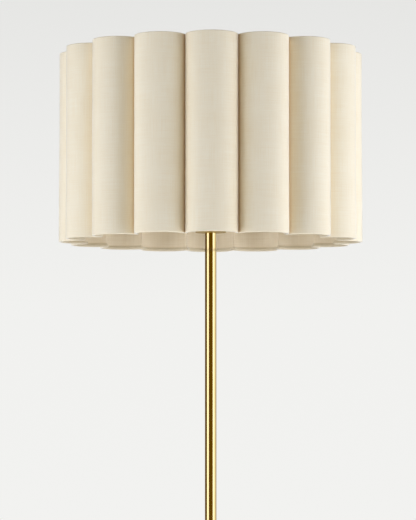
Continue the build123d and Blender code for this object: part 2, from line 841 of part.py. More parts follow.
with BuildPart() as terminal_screws:
    for side in (-1, 1):
        with BuildSketch(Plane.YZ.offset(side * terminal_flat)):
            with Locations((0, terminal_axis)):
                Circle(terminal_head_radius)
        extrude(amount=side * terminal_head_thickness)
        with BuildSketch(Plane.YZ.offset(side * (terminal_flat + terminal_head_thickness))):
            with Locations((0, terminal_axis)):
                Rectangle(2 * terminal_head_radius, terminal_slot_width)
        extrude(amount=-side * terminal_slot_depth, mode=Mode.SUBTRACT)
        with BuildSketch(Plane.YZ.offset(side * terminal_flat)):
            with Locations((0, terminal_axis)):
                Circle(terminal_shank_radius)
        extrude(amount=-side * terminal_shank_length)
write(terminal_screws, "terminal_screws")

# Screw shell and centre contact, both on the top of the body
screw_shell = turned(
    (screw_shell_bore_radius - screw_shell_flange, body_top),
    (screw_shell_bore_radius + screw_shell_wall, body_top),
    (screw_shell_bore_radius + screw_shell_wall, body_top + screw_shell_length),
    (screw_shell_bore_radius, body_top + screw_shell_length),
    (screw_shell_bore_radius, body_top + screw_shell_wall),
    (screw_shell_bore_radius - screw_shell_flange, body_top + screw_shell_wall),
)
write(screw_shell, "screw_shell")

contact_foot_end = contact_foot_length - contact_reach
contact_underside = body_top + contact_rise - contact_thickness
with BuildPart() as centre_contact:
    with BuildSketch(Plane.XZ):
        with BuildLine():
            Polyline(
                (-contact_reach, body_top),
                (contact_foot_end, body_top),
                (contact_foot_end + contact_slope, contact_underside),
                (contact_reach, contact_underside),
                (contact_reach, body_top + contact_rise),
                (contact_foot_end + contact_slope - contact_thickness, body_top + contact_rise),
                (contact_foot_end - contact_thickness, body_top + contact_thickness),
                (-contact_reach, body_top + contact_thickness),
                close=True,
            )
        make_face()
    extrude(amount=contact_width / 2, both=True)
write(centre_contact, "centre_contact")


def along_switch(radius, start, end):
    """A round bar on the switch's axis, between two distances in front of the lamp's axis."""
    with BuildPart() as piece:
        with BuildSketch(Plane.XZ.offset(start)):
            with Locations((0, switch_axis)):
                Circle(radius)
        extrude(amount=end - start)
    return piece


# Switch: a bush on the body, the stem through it and a grooved knob
switch_bush = along_switch(switch_bush_radius, switch_seat, switch_seat + switch_bush_length)
with switch_bush:
    with BuildSketch(Plane.XZ.offset(switch_seat)) as bush_bore:
        with Locations((0, switch_axis)):
            Circle(stem_radius + running_gap)
    extrude(bush_bore.sketch, amount=switch_bush_length, mode=Mode.SUBTRACT)
write(switch_bush, "switch_bush")

stem_inner_end = switch_seat - stem_depth + hole_gap
knob_inner_face = switch_seat + switch_bush_length + stem_reach - knob_length
stem_outer_end = knob_inner_face + knob_length / 2
switch_stem = along_switch(stem_radius, stem_inner_end, stem_outer_end)
write(switch_stem, "switch_stem")

switch_knob = along_switch(knob_radius, knob_inner_face, knob_inner_face + knob_length)
with switch_knob:
    fillet(switch_knob.edges().group_by(Axis.Y)[0], radius=knob_end_radius)
    with BuildSketch(Plane.XZ.offset(knob_inner_face)) as stem_bore:
        with Locations((0, switch_axis)):
            Circle(stem_radius + running_gap)
    extrude(stem_bore.sketch, amount=knob_length / 2 + slip_gap, mode=Mode.SUBTRACT)
    with BuildSketch(Plane.XZ.offset(knob_inner_face)) as grooves:
        with Locations((0, switch_axis)):
            with PolarLocations(knob_radius + knob_groove_outset, knob_grooves):
                Circle(knob_groove_radius)
    extrude(grooves.sketch, amount=knob_length, mode=Mode.SUBTRACT)
write(switch_knob, "switch_knob")

# Bulb: contact, end insulator, screw cap and glass
bulb_contact = turned(
    (0, tip_bottom),
    (tip_face_radius, tip_bottom),
    (tip_radius, bulb_insulator_bottom),
    (0, bulb_insulator_bottom),
)
write(bulb_contact, "bulb_contact")

bulb_insulator = turned(
    (0, bulb_insulator_bottom),
    (tip_radius, bulb_insulator_bottom),
    (bulb_insulator_radius, bulb_cap_bottom),
    (0, bulb_cap_bottom),
)
write(bulb_insulator, "bulb_insulator")

bulb_cap = turned(
    (0, bulb_cap_bottom),
    (bulb_insulator_radius, bulb_cap_bottom),
    (bulb_cap_radius, bulb_cap_bottom + bulb_cap_cone_height),
    (bulb_cap_radius, bulb_cap_top),
    (bulb_cap_radius - bulb_cap_wall, bulb_cap_top),
    (bulb_cap_radius - bulb_cap_wall, bulb_cap_bottom + bulb_cap_cone_height + bulb_cap_wall),
    (bulb_insulator_radius, bulb_cap_bottom + bulb_cap_wall),
    (0, bulb_cap_bottom + bulb_cap_wall),
)
write(bulb_cap, "bulb_cap")

# Glass: a sphere and a cone that touches it, on a short foot inside the cap
glass_foot_radius = bulb_cap_radius - bulb_cap_wall - slip_gap
neck_point = (bulb_neck_radius, bulb_cap_top + bulb_neck_above_cap)
neck_drop = bulb_centre - neck_point[1]
touch_angle = atan2(bulb_neck_radius, neck_drop) + acos(bulb_radius / hypot(bulb_neck_radius, neck_drop))
touch_point = (bulb_radius * sin(touch_angle), bulb_centre - bulb_radius * cos(touch_angle))
with BuildPart() as bulb_globe:
    with BuildSketch(Plane.XZ):
        with BuildLine():
            Polyline(
                (0, bulb_cap_top - bulb_glass_in_cap),
                (glass_foot_radius, bulb_cap_top - bulb_glass_in_cap),
                (glass_foot_radius, bulb_cap_top),
                neck_point,
                touch_point,
            )
            ThreePointArc(touch_point, (bulb_radius, bulb_centre), (0, bulb_centre + bulb_radius))
            Line((0, bulb_centre + bulb_radius), (0, bulb_cap_top - bulb_glass_in_cap))
        make_face()
    revolve(axis=Axis.Z)
    offset(amount=-bulb_glass, openings=bulb_globe.faces().sort_by(Axis.Z)[0])
write(bulb_globe, "bulb_globe")
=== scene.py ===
"""Looks of a floor lamp: a scalloped fabric drum shade on a slim brass pole.

Lengths are millimetres until a mesh is made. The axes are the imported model's own: +Z up, the front
towards -Y, and the origin on the floor under the pole.
"""

import logging
import math
from dataclasses import dataclass, field
from enum import Enum

import bmesh
import bpy
import numpy as np
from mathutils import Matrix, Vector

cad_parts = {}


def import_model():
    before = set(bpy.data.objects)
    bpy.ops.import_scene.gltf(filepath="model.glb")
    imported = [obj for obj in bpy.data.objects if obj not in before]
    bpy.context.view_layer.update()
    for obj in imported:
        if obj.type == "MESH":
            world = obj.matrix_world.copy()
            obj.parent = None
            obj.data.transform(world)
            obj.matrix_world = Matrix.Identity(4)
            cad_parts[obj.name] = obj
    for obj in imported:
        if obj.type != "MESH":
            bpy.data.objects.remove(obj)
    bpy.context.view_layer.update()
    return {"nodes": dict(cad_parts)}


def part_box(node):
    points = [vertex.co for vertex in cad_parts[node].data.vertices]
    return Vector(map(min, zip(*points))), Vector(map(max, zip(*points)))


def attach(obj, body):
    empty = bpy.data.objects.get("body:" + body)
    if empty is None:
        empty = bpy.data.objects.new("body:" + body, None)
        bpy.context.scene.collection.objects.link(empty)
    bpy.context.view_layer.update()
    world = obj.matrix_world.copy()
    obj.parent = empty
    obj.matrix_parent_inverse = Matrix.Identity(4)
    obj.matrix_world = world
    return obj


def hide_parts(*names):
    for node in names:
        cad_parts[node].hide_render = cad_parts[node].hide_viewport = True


LOG = logging.getLogger("floor_lamp")
MM = 0.001
Colour = tuple[float, float, float, float]


class Body(str, Enum):
    """The bodies that the pieces made here ride on."""

    STAND = "stand"
    SHADE = "shade"
    FINIAL = "finial"
    SWITCH = "switch"
    BULB = "bulb"


class Grain(Enum):
    """Which way the fine lines of a metal's finish run."""

    DRAWN = "along the tube"
    SPUN = "round the lathe's axis"
    TUMBLED = "every way"


def srgb(red: int, green: int, blue: int) -> Colour:
    """A screen colour, 0 to 255, as linear light: ((c + 0.055) / 1.055) ^ 2.4 above the toe."""
    parts = np.array((red, green, blue)) / 255
    linear = np.where(parts <= 0.04045, parts / 12.92, ((parts + 0.055) / 1.055) ** 2.4)
    return (float(linear[0]), float(linear[1]), float(linear[2]), 1.0)


def tinted(colour: Colour, red: float, green: float, blue: float) -> Colour:
    """A colour whose red, green and blue are each taken times a share."""
    return (colour[0] * red, colour[1] * green, colour[2] * blue, 1.0)


def unit(vector: np.ndarray) -> np.ndarray:
    """The vectors along the last axis, each brought to length 1."""
    return vector / np.linalg.norm(vector, axis=-1, keepdims=True)


def span(node: str) -> tuple[np.ndarray, np.ndarray]:
    """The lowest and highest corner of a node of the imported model, in millimetres."""
    low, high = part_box(node)
    return np.array(low) / MM, np.array(high) / MM


def rounded(
    corners: list[tuple[float, float, float]],
    steps: int = 6,
    closed: bool = False,
) -> np.ndarray:
    """Rounds the corners of a flat outline.

    Where directions a and b leave a corner at an angle t, its arc of radius r has its centre on their
    bisector, r / sin(t / 2) away, and touches the sides r / tan(t / 2) from the corner.

    Args:
        corners: x, y and radius of each corner in order. A radius of 0 leaves it sharp.
        steps: Straight pieces in each arc.
        closed: Whether the last corner joins the first.

    Returns:
        The outline's points, one to a row.
    """
    flat = np.array(corners, float)
    last = len(flat) - 1
    points = []
    for index, (x, y, radius) in enumerate(flat):
        corner = np.array((x, y))
        if radius == 0 or (not closed and index in (0, last)):
            points.append(corner[None])
            continue
        before = unit(flat[index - 1, :2] - corner)
        after = unit(flat[(index + 1) % len(flat), :2] - corner)
        half = math.acos(float(np.clip(before @ after, -1, 1))) / 2
        centre = corner + unit(before + after) * radius / math.sin(half)
        start = corner + before * radius / math.tan(half) - centre
        end = corner + after * radius / math.tan(half) - centre
        first = math.atan2(start[1], start[0])
        turn = (math.atan2(end[1], end[0]) - first + math.pi) % (2 * math.pi) - math.pi
        angles = first + turn * np.linspace(0, 1, steps + 1)
        points.append(centre + radius * np.stack((np.cos(angles), np.sin(angles)), -1))
    return np.concatenate(points)


def held(outline: np.ndarray, margin: float, closed: bool = False) -> np.ndarray:
    """Adds a point near each end of every long straight run, so that its shading stays flat.

    Args:
        outline: Points of an outline, one to a row.
        margin: How far from a run's ends the new points lie.
        closed: Whether the last point joins the first.

    Returns:
        The outline with its new points in order.
    """
    ends = np.roll(outline, -1, axis=0) if closed else outline[1:]
    starts = outline if closed else outline[:-1]
    step = ends - starts
    length = np.linalg.norm(step, axis=1)
    long = length > 4 * margin
    share = margin / length[long]
    order = np.arange(len(starts))[long]
    places = np.concatenate((np.arange(len(outline)), order + share, order + 1 - share))
    points = np.concatenate(
        (
            outline,
            starts[long] + step[long] * share[:, None],
            ends[long] - step[long] * share[:, None],
        )
    )
    return points[np.argsort(places)]


def divided(outline: np.ndarray, step: float, closed: bool = False) -> np.ndarray:
    """Divides every straight run of an outline into even pieces no longer than a step.

    Args:
        outline: Points of an outline, one to a row.
        step: The longest piece.
        closed: Whether the last point joins the first.

    Returns:
        The outline with its new points in order.
    """
    ends = np.roll(outline, -1, axis=0) if closed else outline[1:]
    starts = outline if closed else outline[:-1]
    counts = np.maximum(np.ceil(np.linalg.norm(ends - starts, axis=1) / step), 1).astype(int)
    first = np.repeat(np.cumsum(counts) - counts, counts)
    share = (np.arange(counts.sum()) - first) / np.repeat(counts, counts)
    steps = np.repeat(ends - starts, counts, axis=0) * share[:, None]
    points = np.repeat(starts, counts, axis=0) + steps
    return points if closed else np.concatenate((points, outline[-1:]))


def offset_band(path: np.ndarray, thickness: float) -> np.ndarray:
    """The closed outline of a band of even thickness along a flat path.

    Each point p of the path gives p + n t / 2 on the way out and p - n t / 2 on the way back, where n is
    the path's normal and t the thickness.
    """
    along = unit(np.gradient(path, axis=0))
    normal = np.stack((-along[:, 1], along[:, 0]), -1)
    return np.concatenate((path + normal * thickness / 2, (path - normal * thickness / 2)[::-1]))


def waves(angle: np.ndarray, height: np.ndarray, seed: int, count: int = 6) -> np.ndarray:
    """Slow uneven waves round and up the shade, from about -1 to 1.

    The sum of cos(m a + k z + p) over a few whole numbers m, slopes k and phases p drawn from the seed,
    divided by the square root of their count.

    Args:
        angle: Angles round the lamp's axis, in radians.
        height: Heights in millimetres, of a shape that goes with angle.
        seed: Seed of the drawn numbers.
        count: How many waves are added.

    Returns:
        The waves' height at each point.
    """
    draw = np.random.default_rng(seed)
    total = np.zeros(np.broadcast(angle, height).shape)
    for _ in range(count):
        turns = draw.integers(1, 9)
        slope = draw.uniform(-0.02, 0.02)
        total += np.cos(turns * angle + slope * height + draw.uniform(0, 6.28))
    return total / math.sqrt(count)


@dataclass
class Grid:
    """Points in rows and columns that become a surface, whose last column joins the first.

    Attributes:
        points: Array of rows, columns and x, y, z in millimetres.
        closed: Whether the last row joins the first too.
        cloth: Optional position on the cloth in millimetres, with one column more than the points, and
            one row more where the rows join up.
        marks: Named numbers at each point, for materials.
    """

    points: np.ndarray
    closed: bool = False
    cloth: np.ndarray | None = None
    marks: dict[str, np.ndarray] = field(default_factory=dict)

    def corners(self) -> tuple[np.ndarray, np.ndarray]:
        """The row and column of each face's four corners, counted on past the last where they join."""
        rows, columns = self.points.shape[:2]
        row, column = np.meshgrid(
            np.arange(rows if self.closed else rows - 1),
            np.arange(columns),
            indexing="ij",
        )
        return (
            np.stack((row, row, row + 1, row + 1), -1).reshape(-1, 4),
            np.stack((column, column + 1, column + 1, column), -1).reshape(-1, 4),
        )

    def faces(self) -> np.ndarray:
        """The faces, as four indices into the flattened points."""
        rows, columns = self.points.shape[:2]
        row, column = self.corners()
        return (row % rows) * columns + column % columns

    def cloth_corners(self) -> np.ndarray:
        """The position on the cloth of each face's corners, in metres."""
        row, column = self.corners()
        if self.cloth is None:
            return np.zeros((row.size, 2))
        return self.cloth[row, column].reshape(-1, 2) * MM


def turned(profile: np.ndarray, segments: int = 96, closed: bool = False) -> Grid:
    """A surface turned about the lamp's axis: (r cos a, r sin a, z) for each (r, z) and angle a."""
    angle = np.arange(segments) * 2 * np.pi / segments
    radius, height = profile[:, 0, None], profile[:, 1, None]
    points = np.stack(
        (radius * np.cos(angle), radius * np.sin(angle), height + 0 * angle),
        axis=-1,
    )
    return Grid(points, closed=closed)


def bar(path: np.ndarray, normal: np.ndarray, radius: float, sides: int = 16) -> Grid:
    """A round bar along a flat path, with domed ends.

    Its points are p + r (n cos a + b sin a), where b is the normal of the path's plane and n = b x t is
    square to the path's direction t. Over a domed end r shrinks as a quarter circle.

    Args:
        path: Points of the path, one to a row.
        normal: Unit normal b of the plane that the path lies in.
        radius: Radius of the bar.
        sides: Points round the bar.

    Returns:
        The bar's surface.
    """
    direction = unit(np.gradient(path, axis=0))
    dome = np.linspace(np.pi / 2, 0, 5)[:-1]
    reach = radius * np.sin(dome)[:, None]
    path = np.concatenate(
        (path[0] - direction[0] * reach, path, (path[-1] + direction[-1] * reach)[::-1])
    )
    direction = np.pad(direction, ((len(dome), len(dome)), (0, 0)), mode="edge")
    radii = np.full(len(path), radius)
    radii[: len(dome)] = radius * np.cos(dome)
    radii[-len(dome):] = radius * np.cos(dome)[::-1]
    side = np.cross(normal, direction)
    angle = np.arange(sides) * 2 * np.pi / sides
    ring = side[:, None] * np.cos(angle)[None, :, None] + normal * np.sin(angle)[None, :, None]
    return Grid(path[:, None] + radii[:, None, None] * ring)


def facing_front(grid: Grid, height: float) -> Grid:
    """Lays a surface turned about +Z along -Y at a height: (x, y, z) goes to (x, -z, height + y)."""
    x, y, z = np.moveaxis(grid.points, -1, 0)
    grid.points = np.stack((x, -z, height + y), -1)
    return grid


def threaded(
    profile: np.ndarray,
    pitch: float,
    depth: float,
    on_thread: np.ndarray,
    segments: int,
) -> Grid:
    """A turned surface with a right-hand thread cut into part of it.

    Its radius is r - d w (1 - cos(2 pi z / pitch - a)) / 2 at height z and angle a, where w is the
    thread's share at that row.

    Args:
        profile: Radius and height of each row.
        pitch: Rise of the thread in one turn.
        depth: Depth d of the thread.
        on_thread: The share w of each row, from 0 to 1.
        segments: Points round the surface.

    Returns:
        The threaded surface.
    """
    angle = np.arange(segments) * 2 * np.pi / segments
    phase = 2 * np.pi * profile[:, 1, None] / pitch - angle
    radius = profile[:, 0, None] - depth * on_thread[:, None] * (1 - np.cos(phase)) / 2
    height = np.broadcast_to(profile[:, 1, None], radius.shape)
    return Grid(np.stack((radius * np.cos(angle), radius * np.sin(angle), height), -1))


def piece(
    name: str,
    grids: list[Grid],
    finish: "Finish",
    body: Body,
    sharp: float = 40.0,
) -> bpy.types.Object:
    """Makes an object of the lamp from one or more grids.

    Args:
        name: Name of the piece.
        grids: The grids that it is made of.
        finish: Its finish.
        body: The body that it rides on.
        sharp: Edges that turn by more than this many degrees stay sharp.

    Returns:
        The new object, at the origin.
    """
    starts = np.cumsum([0] + [grid.points.shape[0] * grid.points.shape[1] for grid in grids])
    vertices = np.concatenate([grid.points.reshape(-1, 3) for grid in grids]) * MM
    faces = np.concatenate([grid.faces() + start for grid, start in zip(grids, starts)])
    mesh = bpy.data.meshes.new(name)
    mesh.from_pydata(vertices.tolist(), [], faces.tolist())
    cloth = np.concatenate([grid.cloth_corners() for grid in grids])
    mesh.uv_layers.new(name="cloth").data.foreach_set("uv", cloth.ravel())
    for mark in grids[0].marks:
        values = np.concatenate([grid.marks[mark].ravel() for grid in grids])
        mesh.attributes.new(mark, "FLOAT", "POINT").data.foreach_set("value", values)
    shape = bmesh.new()
    shape.from_mesh(mesh)
    bmesh.ops.remove_doubles(shape, verts=shape.verts, dist=0.002 * MM)
    bmesh.ops.recalc_face_normals(shape, faces=shape.faces)
    shape.to_mesh(mesh)
    shape.free()
    mesh.shade_smooth()
    mesh.set_sharp_from_angle(angle=math.radians(sharp))
    mesh.materials.append(finish.material())
    made = bpy.data.objects.new(name, mesh)
    bpy.context.scene.collection.objects.link(made)
    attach(made, body.value)
    LOG.info("%s: %d faces on %s", name, len(mesh.polygons), body.value)
    return made


class Tree:
    """Shader nodes, linked in short steps."""

    def __init__(self, tree: bpy.types.NodeTree) -> None:
        """Takes the tree that gets the nodes."""
        self.tree = tree

    def add(self, kind: str, inputs: dict | None = None, **settings: object) -> bpy.types.Node:
        """Adds a node.

        Args:
            kind: The node's type.
            inputs: Values or sockets for its inputs, by name or number.
            **settings: Values of the node's own properties.

        Returns:
            The new node.
        """
        node = self.tree.nodes.new(kind)
        for key, value in settings.items():
            setattr(node, key, value)
        for key, value in (inputs or {}).items():
            self.feed(node.inputs[key], value)
        return node

    def feed(self, entry: bpy.types.NodeSocket, value: object) -> None:
        """Links a socket to an input, or sets the input's own value."""
        if isinstance(value, bpy.types.NodeSocket):
            self.tree.links.new(value, entry)
        else:
            entry.default_value = value

    def maths(self, operation: str, *values: object) -> bpy.types.NodeSocket:
        """The result of a Math node on one to three values."""
        inputs = dict(enumerate(values))
        return self.add("ShaderNodeMath", inputs, operation=operation).outputs[0]

    def mix(self, share: object, first: object, second: object) -> bpy.types.NodeSocket:
        """A mix of two colours, with the second's share from 0 to 1."""
        inputs = {0: share, 6: first, 7: second}
        return self.add("ShaderNodeMix", inputs, data_type="RGBA").outputs[2]

    def ramp(
        self,
        value: bpy.types.NodeSocket,
        reach: tuple[float, float],
        stops: tuple[tuple[float, Colour], ...],
    ) -> bpy.types.NodeSocket:
        """Colours along a value.

        Args:
            value: The value.
            reach: The values at the ramp's two ends.
            stops: Place from 0 to 1 and colour of each stop.

        Returns:
            The colour.
        """
        along = self.add("ShaderNodeMapRange", {0: value, 1: reach[0], 2: reach[1]}).outputs[0]
        node = self.add("ShaderNodeValToRGB", {0: along})
        elements = node.color_ramp.elements
        while len(elements) < len(stops):
            elements.new(0.5)
        for element, (place, colour) in zip(elements, stops):
            element.position = place
            element.color = colour
        return node.outputs[0]


class Graph(Tree):
    """A material's nodes about one Principled shader."""

    def __init__(self, name: str) -> None:
        """Starts a material of that name."""
        self.material = bpy.data.materials.new(name)
        self.material.use_nodes = True
        super().__init__(self.material.node_tree)
        self.shader = self.tree.nodes["Principled BSDF"]

    def shade(self, **inputs: object) -> None:
        """Sets the shader's inputs; an underscore in a name stands for a space."""
        for key, value in inputs.items():
            self.feed(self.shader.inputs[key.replace("_", " ")], value)

    def object_place(self, scale: tuple[float, float, float] = (1, 1, 1)) -> bpy.types.NodeSocket:
        """The place on the object in metres, times a scale along each axis."""
        place = self.add("ShaderNodeTexCoord").outputs["Object"]
        return self.add("ShaderNodeMapping", {"Vector": place, "Scale": scale}).outputs[0]

    def cloth_place(self, scale: tuple[float, float, float] = (1, 1, 1)) -> bpy.types.NodeSocket:
        """The place on the cloth in metres, times a scale along each axis."""
        place = self.add("ShaderNodeUVMap", uv_map="cloth").outputs[0]
        return self.add("ShaderNodeMapping", {"Vector": place, "Scale": scale}).outputs[0]

    def noise(
        self,
        place: bpy.types.NodeSocket,
        scale: float,
        detail: float = 2.0,
    ) -> bpy.types.NodeSocket:
        """Cloudy noise from 0 to 1 at a place, with so many waves to a metre."""
        inputs = {"Vector": place, "Scale": scale, "Detail": detail}
        return self.add("ShaderNodeTexNoise", inputs).outputs["Fac"]

    def rings(self, rate: float) -> bpy.types.NodeSocket:
        """Uneven rings about the lamp's axis, from 0 to 1, with so many to a metre.

        It is noise along sqrt(x^2 + y^2) + 0.7 z, which gives rings on flat faces and on walls.
        """
        x, y, z = self.add("ShaderNodeSeparateXYZ", {0: self.object_place()}).outputs
        across = self.maths("MULTIPLY", x, x)
        radius = self.maths("SQRT", self.maths("MULTIPLY_ADD", y, y, across))
        place = self.maths("MULTIPLY", self.maths("MULTIPLY_ADD", z, 0.7, radius), rate)
        return self.add("ShaderNodeTexNoise", {"W": place}, noise_dimensions="1D").outputs["Fac"]

    def ranged(
        self,
        value: object,
        low: float,
        high: float,
        to_low: float,
        to_high: float,
    ) -> bpy.types.NodeSocket:
        """A value carried from one range to another and kept inside it."""
        inputs = {0: value, 1: low, 2: high, 3: to_low, 4: to_high}
        return self.add("ShaderNodeMapRange", inputs).outputs[0]

    def bump(self, height: object, distance: float, strength: float = 1.0) -> None:
        """Raises the surface by a height from 0 to 1, times a distance in metres."""
        inputs = {"Height": height, "Distance": distance, "Strength": strength}
        self.shade(Normal=self.add("ShaderNodeBump", inputs).outputs[0])


@dataclass(frozen=True)
class Finish:
    """A finish of the lamp: its name, and the record's slot that it belongs to."""

    name: str
    slot: str

    def material(self) -> bpy.types.Material:
        """The finish's material, made the first time that it is asked for."""
        made = bpy.data.materials.get(self.name)
        return made if made else self.build()

    def build(self) -> bpy.types.Material:
        """Makes the material."""
        raise NotImplementedError


@dataclass(frozen=True)
class ShadeCloth(Finish):
    """Cotton and linen cloth in a plain weave, uneven in its threads, with painted shade towards its
    valleys and along its rims.

    Attributes:
        light: The colour of the full threads.
        dark: The colour between them.
        valley_shade: The golden brown of the painted shade down in the valleys between the flutes.
        edge: The greyer colour of the painted shade along its rims and on the turned-in cloth.
        pitch: Distance between neighbouring threads, in metres.
        relief: Height of a thread, in metres.
    """

    light: Colour = srgb(255, 250, 231)
    dark: Colour = srgb(247, 234, 204)
    # Colour of the painted shade in the valleys.
    valley_shade: Colour = srgb(216, 172, 98)
    # Colour of the painted shade along the rims.
    edge: Colour = srgb(219, 208, 182)
    pitch: float = 0.0006
    relief: float = 0.00006

    def build(self) -> bpy.types.Material:
        """Two sets of threads, sin(pi u / p) sin(pi v / p) high, with slubs drawn out along each."""
        graph = Graph(self.name)
        across, along, _ = graph.add("ShaderNodeSeparateXYZ", {0: graph.cloth_place()}).outputs
        rate = math.pi / self.pitch
        warp = graph.maths("SINE", graph.maths("MULTIPLY", across, rate))
        weft = graph.maths("SINE", graph.maths("MULTIPLY", along, rate))
        weave = graph.maths("MULTIPLY_ADD", graph.maths("MULTIPLY", warp, weft), 0.5, 0.5)
        slub_warp = graph.noise(graph.cloth_place((900, 22, 1)), 1.0, 3.0)
        slub_weft = graph.noise(graph.cloth_place((22, 900, 1)), 1.0, 3.0)
        slubs = graph.maths("ADD", slub_warp, slub_weft)
        clouds = graph.noise(graph.cloth_place(), 16.0)
        tone = graph.maths("MULTIPLY_ADD", clouds, 0.5, graph.ranged(slubs, 0.7, 1.3, 0.0, 0.5))
        cloth = graph.mix(tone, self.dark, self.light)
        # Painted shade: the share of golden brown that darkens the cloth towards its valleys.
        depth = graph.add("ShaderNodeAttribute", attribute_name="valley_shade").outputs["Fac"]
        # Painted shade: the share of grey along the rims and on the turned-in cloth.
        rim_shade_mix = graph.add("ShaderNodeAttribute", attribute_name="edge").outputs["Fac"]
        colour = graph.mix(rim_shade_mix, graph.mix(depth, cloth, self.valley_shade), self.edge)
        graph.shade(Base_Color=colour, Roughness=0.7, Sheen_Weight=1.0, Sheen_Roughness=0.3)
        graph.shade(Specular_IOR_Level=0.4)
        height = graph.maths("MULTIPLY_ADD", slubs, 0.8, graph.maths("MULTIPLY", weave, 0.6))
        graph.bump(height, self.relief)
        return graph.material


@dataclass(frozen=True)
class LiningFilm(Finish):
    """The stiff satin film behind the cloth, with the cloth's threads showing faintly through it."""

    colour: Colour = srgb(240, 229, 205)
    shadow: Colour = srgb(233, 219, 191)

    def build(self) -> bpy.types.Material:
        """A pale film with drawn-out streaks and a slight ripple."""
        graph = Graph(self.name)
        streaks = graph.noise(graph.cloth_place((500, 14, 1)), 1.0, 3.0)
        threads = graph.noise(graph.cloth_place((14, 500, 1)), 1.0, 3.0)
        tone = graph.ranged(graph.maths("ADD", streaks, threads), 0.7, 1.3, 0.0, 1.0)
        graph.shade(Base_Color=graph.mix(tone, self.shadow, self.colour), Specular_IOR_Level=0.3)
        graph.shade(Roughness=graph.ranged(graph.noise(graph.cloth_place(), 60.0), 0.3, 0.7, 0.42, 0.6))
        graph.bump(graph.noise(graph.cloth_place(), 25.0), 0.0002, 0.6)
        return graph.material


@dataclass(frozen=True)
class Brass(Finish):
    """Lacquered brass with fine lines from the way it was worked.

    Attributes:
        colour: Its colour when seen straight on.
        polish: Roughness of the clean metal.
        grain: The way of the fine lines.
    """

    colour: Colour = (0.88, 0.72, 0.38, 1.0)
    polish: float = 0.08
    grain: Grain = Grain.DRAWN

    def build(self) -> bpy.types.Material:
        """Metal whose tone and roughness drift a little."""
        graph = Graph(self.name)
        drift = graph.noise(graph.object_place(), 28.0, 1.0)
        deep = tinted(self.colour, 0.95, 0.93, 0.82)
        graph.shade(Base_Color=graph.mix(drift, deep, self.colour), Metallic=1.0)
        mottled = graph.ranged(drift, 0.3, 0.7, self.polish * 0.85, self.polish * 1.2)
        if self.grain is Grain.SPUN:
            lines = graph.rings(2500.0)
            graph.bump(lines, 0.000003)
        elif self.grain is Grain.TUMBLED:
            lines = graph.noise(graph.object_place(), 130.0)
            graph.bump(lines, 0.000004)
        else:
            lines = graph.noise(graph.object_place((700.0, 700.0, 5.0)), 1.0)
        graph.shade(Roughness=graph.maths("MULTIPLY_ADD", lines, self.polish * 0.25, mottled))
        return graph.material


@dataclass(frozen=True)
class ShadeDarkenedSatinBrass(Finish):
    """Brass scratched matt on the lathe and lacquered, its colour darkened as painted shade; it keeps
    its gold at a glancing angle.
    """

    # The dark gold is painted shade: the colour that the neck cap's underside shows in shade.
    colour: Colour = (0.34, 0.21, 0.012, 1.0)
    metal: float = 0.1

    def build(self) -> bpy.types.Material:
        """Rings of fine scratches in a dark golden ground, darkened as painted shade, that is part metal
        and part lacquer.
        """
        graph = Graph(self.name)
        scratches = graph.rings(2500.0)
        deep = tinted(self.colour, 0.85, 0.82, 0.7)
        graph.shade(Base_Color=graph.mix(scratches, deep, self.colour), Metallic=self.metal)
        graph.shade(Roughness=graph.ranged(scratches, 0.3, 0.7, 0.32, 0.46), Specular_IOR_Level=0.04)
        graph.bump(scratches, 0.000006)
        return graph.material


@dataclass(frozen=True)
class Steel(Finish):
    """Zinc-plated steel, slightly mottled."""

    colour: Colour = (0.60, 0.61, 0.62, 1.0)
    polish: float = 0.34

    def build(self) -> bpy.types.Material:
        """Grey metal with a patchy plating."""
        graph = Graph(self.name)
        patches = graph.noise(graph.object_place(), 350.0, 4.0)
        dull = tinted(self.colour, 0.72, 0.72, 0.7)
        graph.shade(Base_Color=graph.mix(patches, dull, self.colour), Metallic=1.0)
        graph.shade(Roughness=graph.ranged(patches, 0.3, 0.7, self.polish, self.polish + 0.14))
        graph.bump(patches, 0.00001)
        return graph.material


@dataclass(frozen=True)
class Enamel(Finish):
    """Baked off-white enamel on wire, with a faint orange peel."""

    colour: Colour = (0.80, 0.78, 0.71, 1.0)

    def build(self) -> bpy.types.Material:
        """A smooth paint with small even bumps, and painted shade darkening their hollows."""
        graph = Graph(self.name)
        peel = graph.noise(graph.object_place(), 900.0, 2.0)
        # Painted shade: the bumps' hollows are darker.
        hollow_shade = tinted(self.colour, 0.9, 0.89, 0.86)
        graph.shade(Base_Color=graph.mix(peel, hollow_shade, self.colour), Roughness=0.36)
        graph.bump(peel, 0.00003)
        return graph.material


@dataclass(frozen=True)
class CastIron(Finish):
    """Grey cast iron under thin black paint, with the mould's grain."""

    colour: Colour = (0.035, 0.034, 0.033, 1.0)

    def build(self) -> bpy.types.Material:
        """Dark paint over coarse and fine grain."""
        graph = Graph(self.name)
        coarse = graph.noise(graph.object_place(), 120.0, 3.0)
        fine = graph.noise(graph.object_place(), 1500.0, 3.0)
        grain = graph.maths("MULTIPLY_ADD", fine, 0.4, coarse)
        graph.shade(Base_Color=graph.mix(coarse, self.colour, (0.07, 0.065, 0.06, 1.0)), Metallic=0.25)
        graph.shade(Roughness=graph.ranged(grain, 0.4, 1.0, 0.5, 0.75))
        graph.bump(grain, 0.0004, 0.7)
        return graph.material


@dataclass(frozen=True)
class Felt(Finish):
    """Pressed wool felt."""

    colour: Colour = (0.045, 0.065, 0.052, 1.0)

    def build(self) -> bpy.types.Material:
        """Matted fibres: noise pulled about by slower noise, in a soft dark green."""
        graph = Graph(self.name)
        tangle = {"Vector": graph.object_place(), "Scale": 420.0, "Detail": 6.0, "Distortion": 3.0}
        fibres = graph.add("ShaderNodeTexNoise", tangle).outputs["Fac"]
        graph.shade(Base_Color=graph.mix(fibres, self.colour, (0.10, 0.135, 0.11, 1.0)), Roughness=0.95)
        graph.shade(Sheen_Weight=0.5, Sheen_Roughness=0.6, Specular_IOR_Level=0.1)
        graph.bump(fibres, 0.0005, 0.8)
        return graph.material


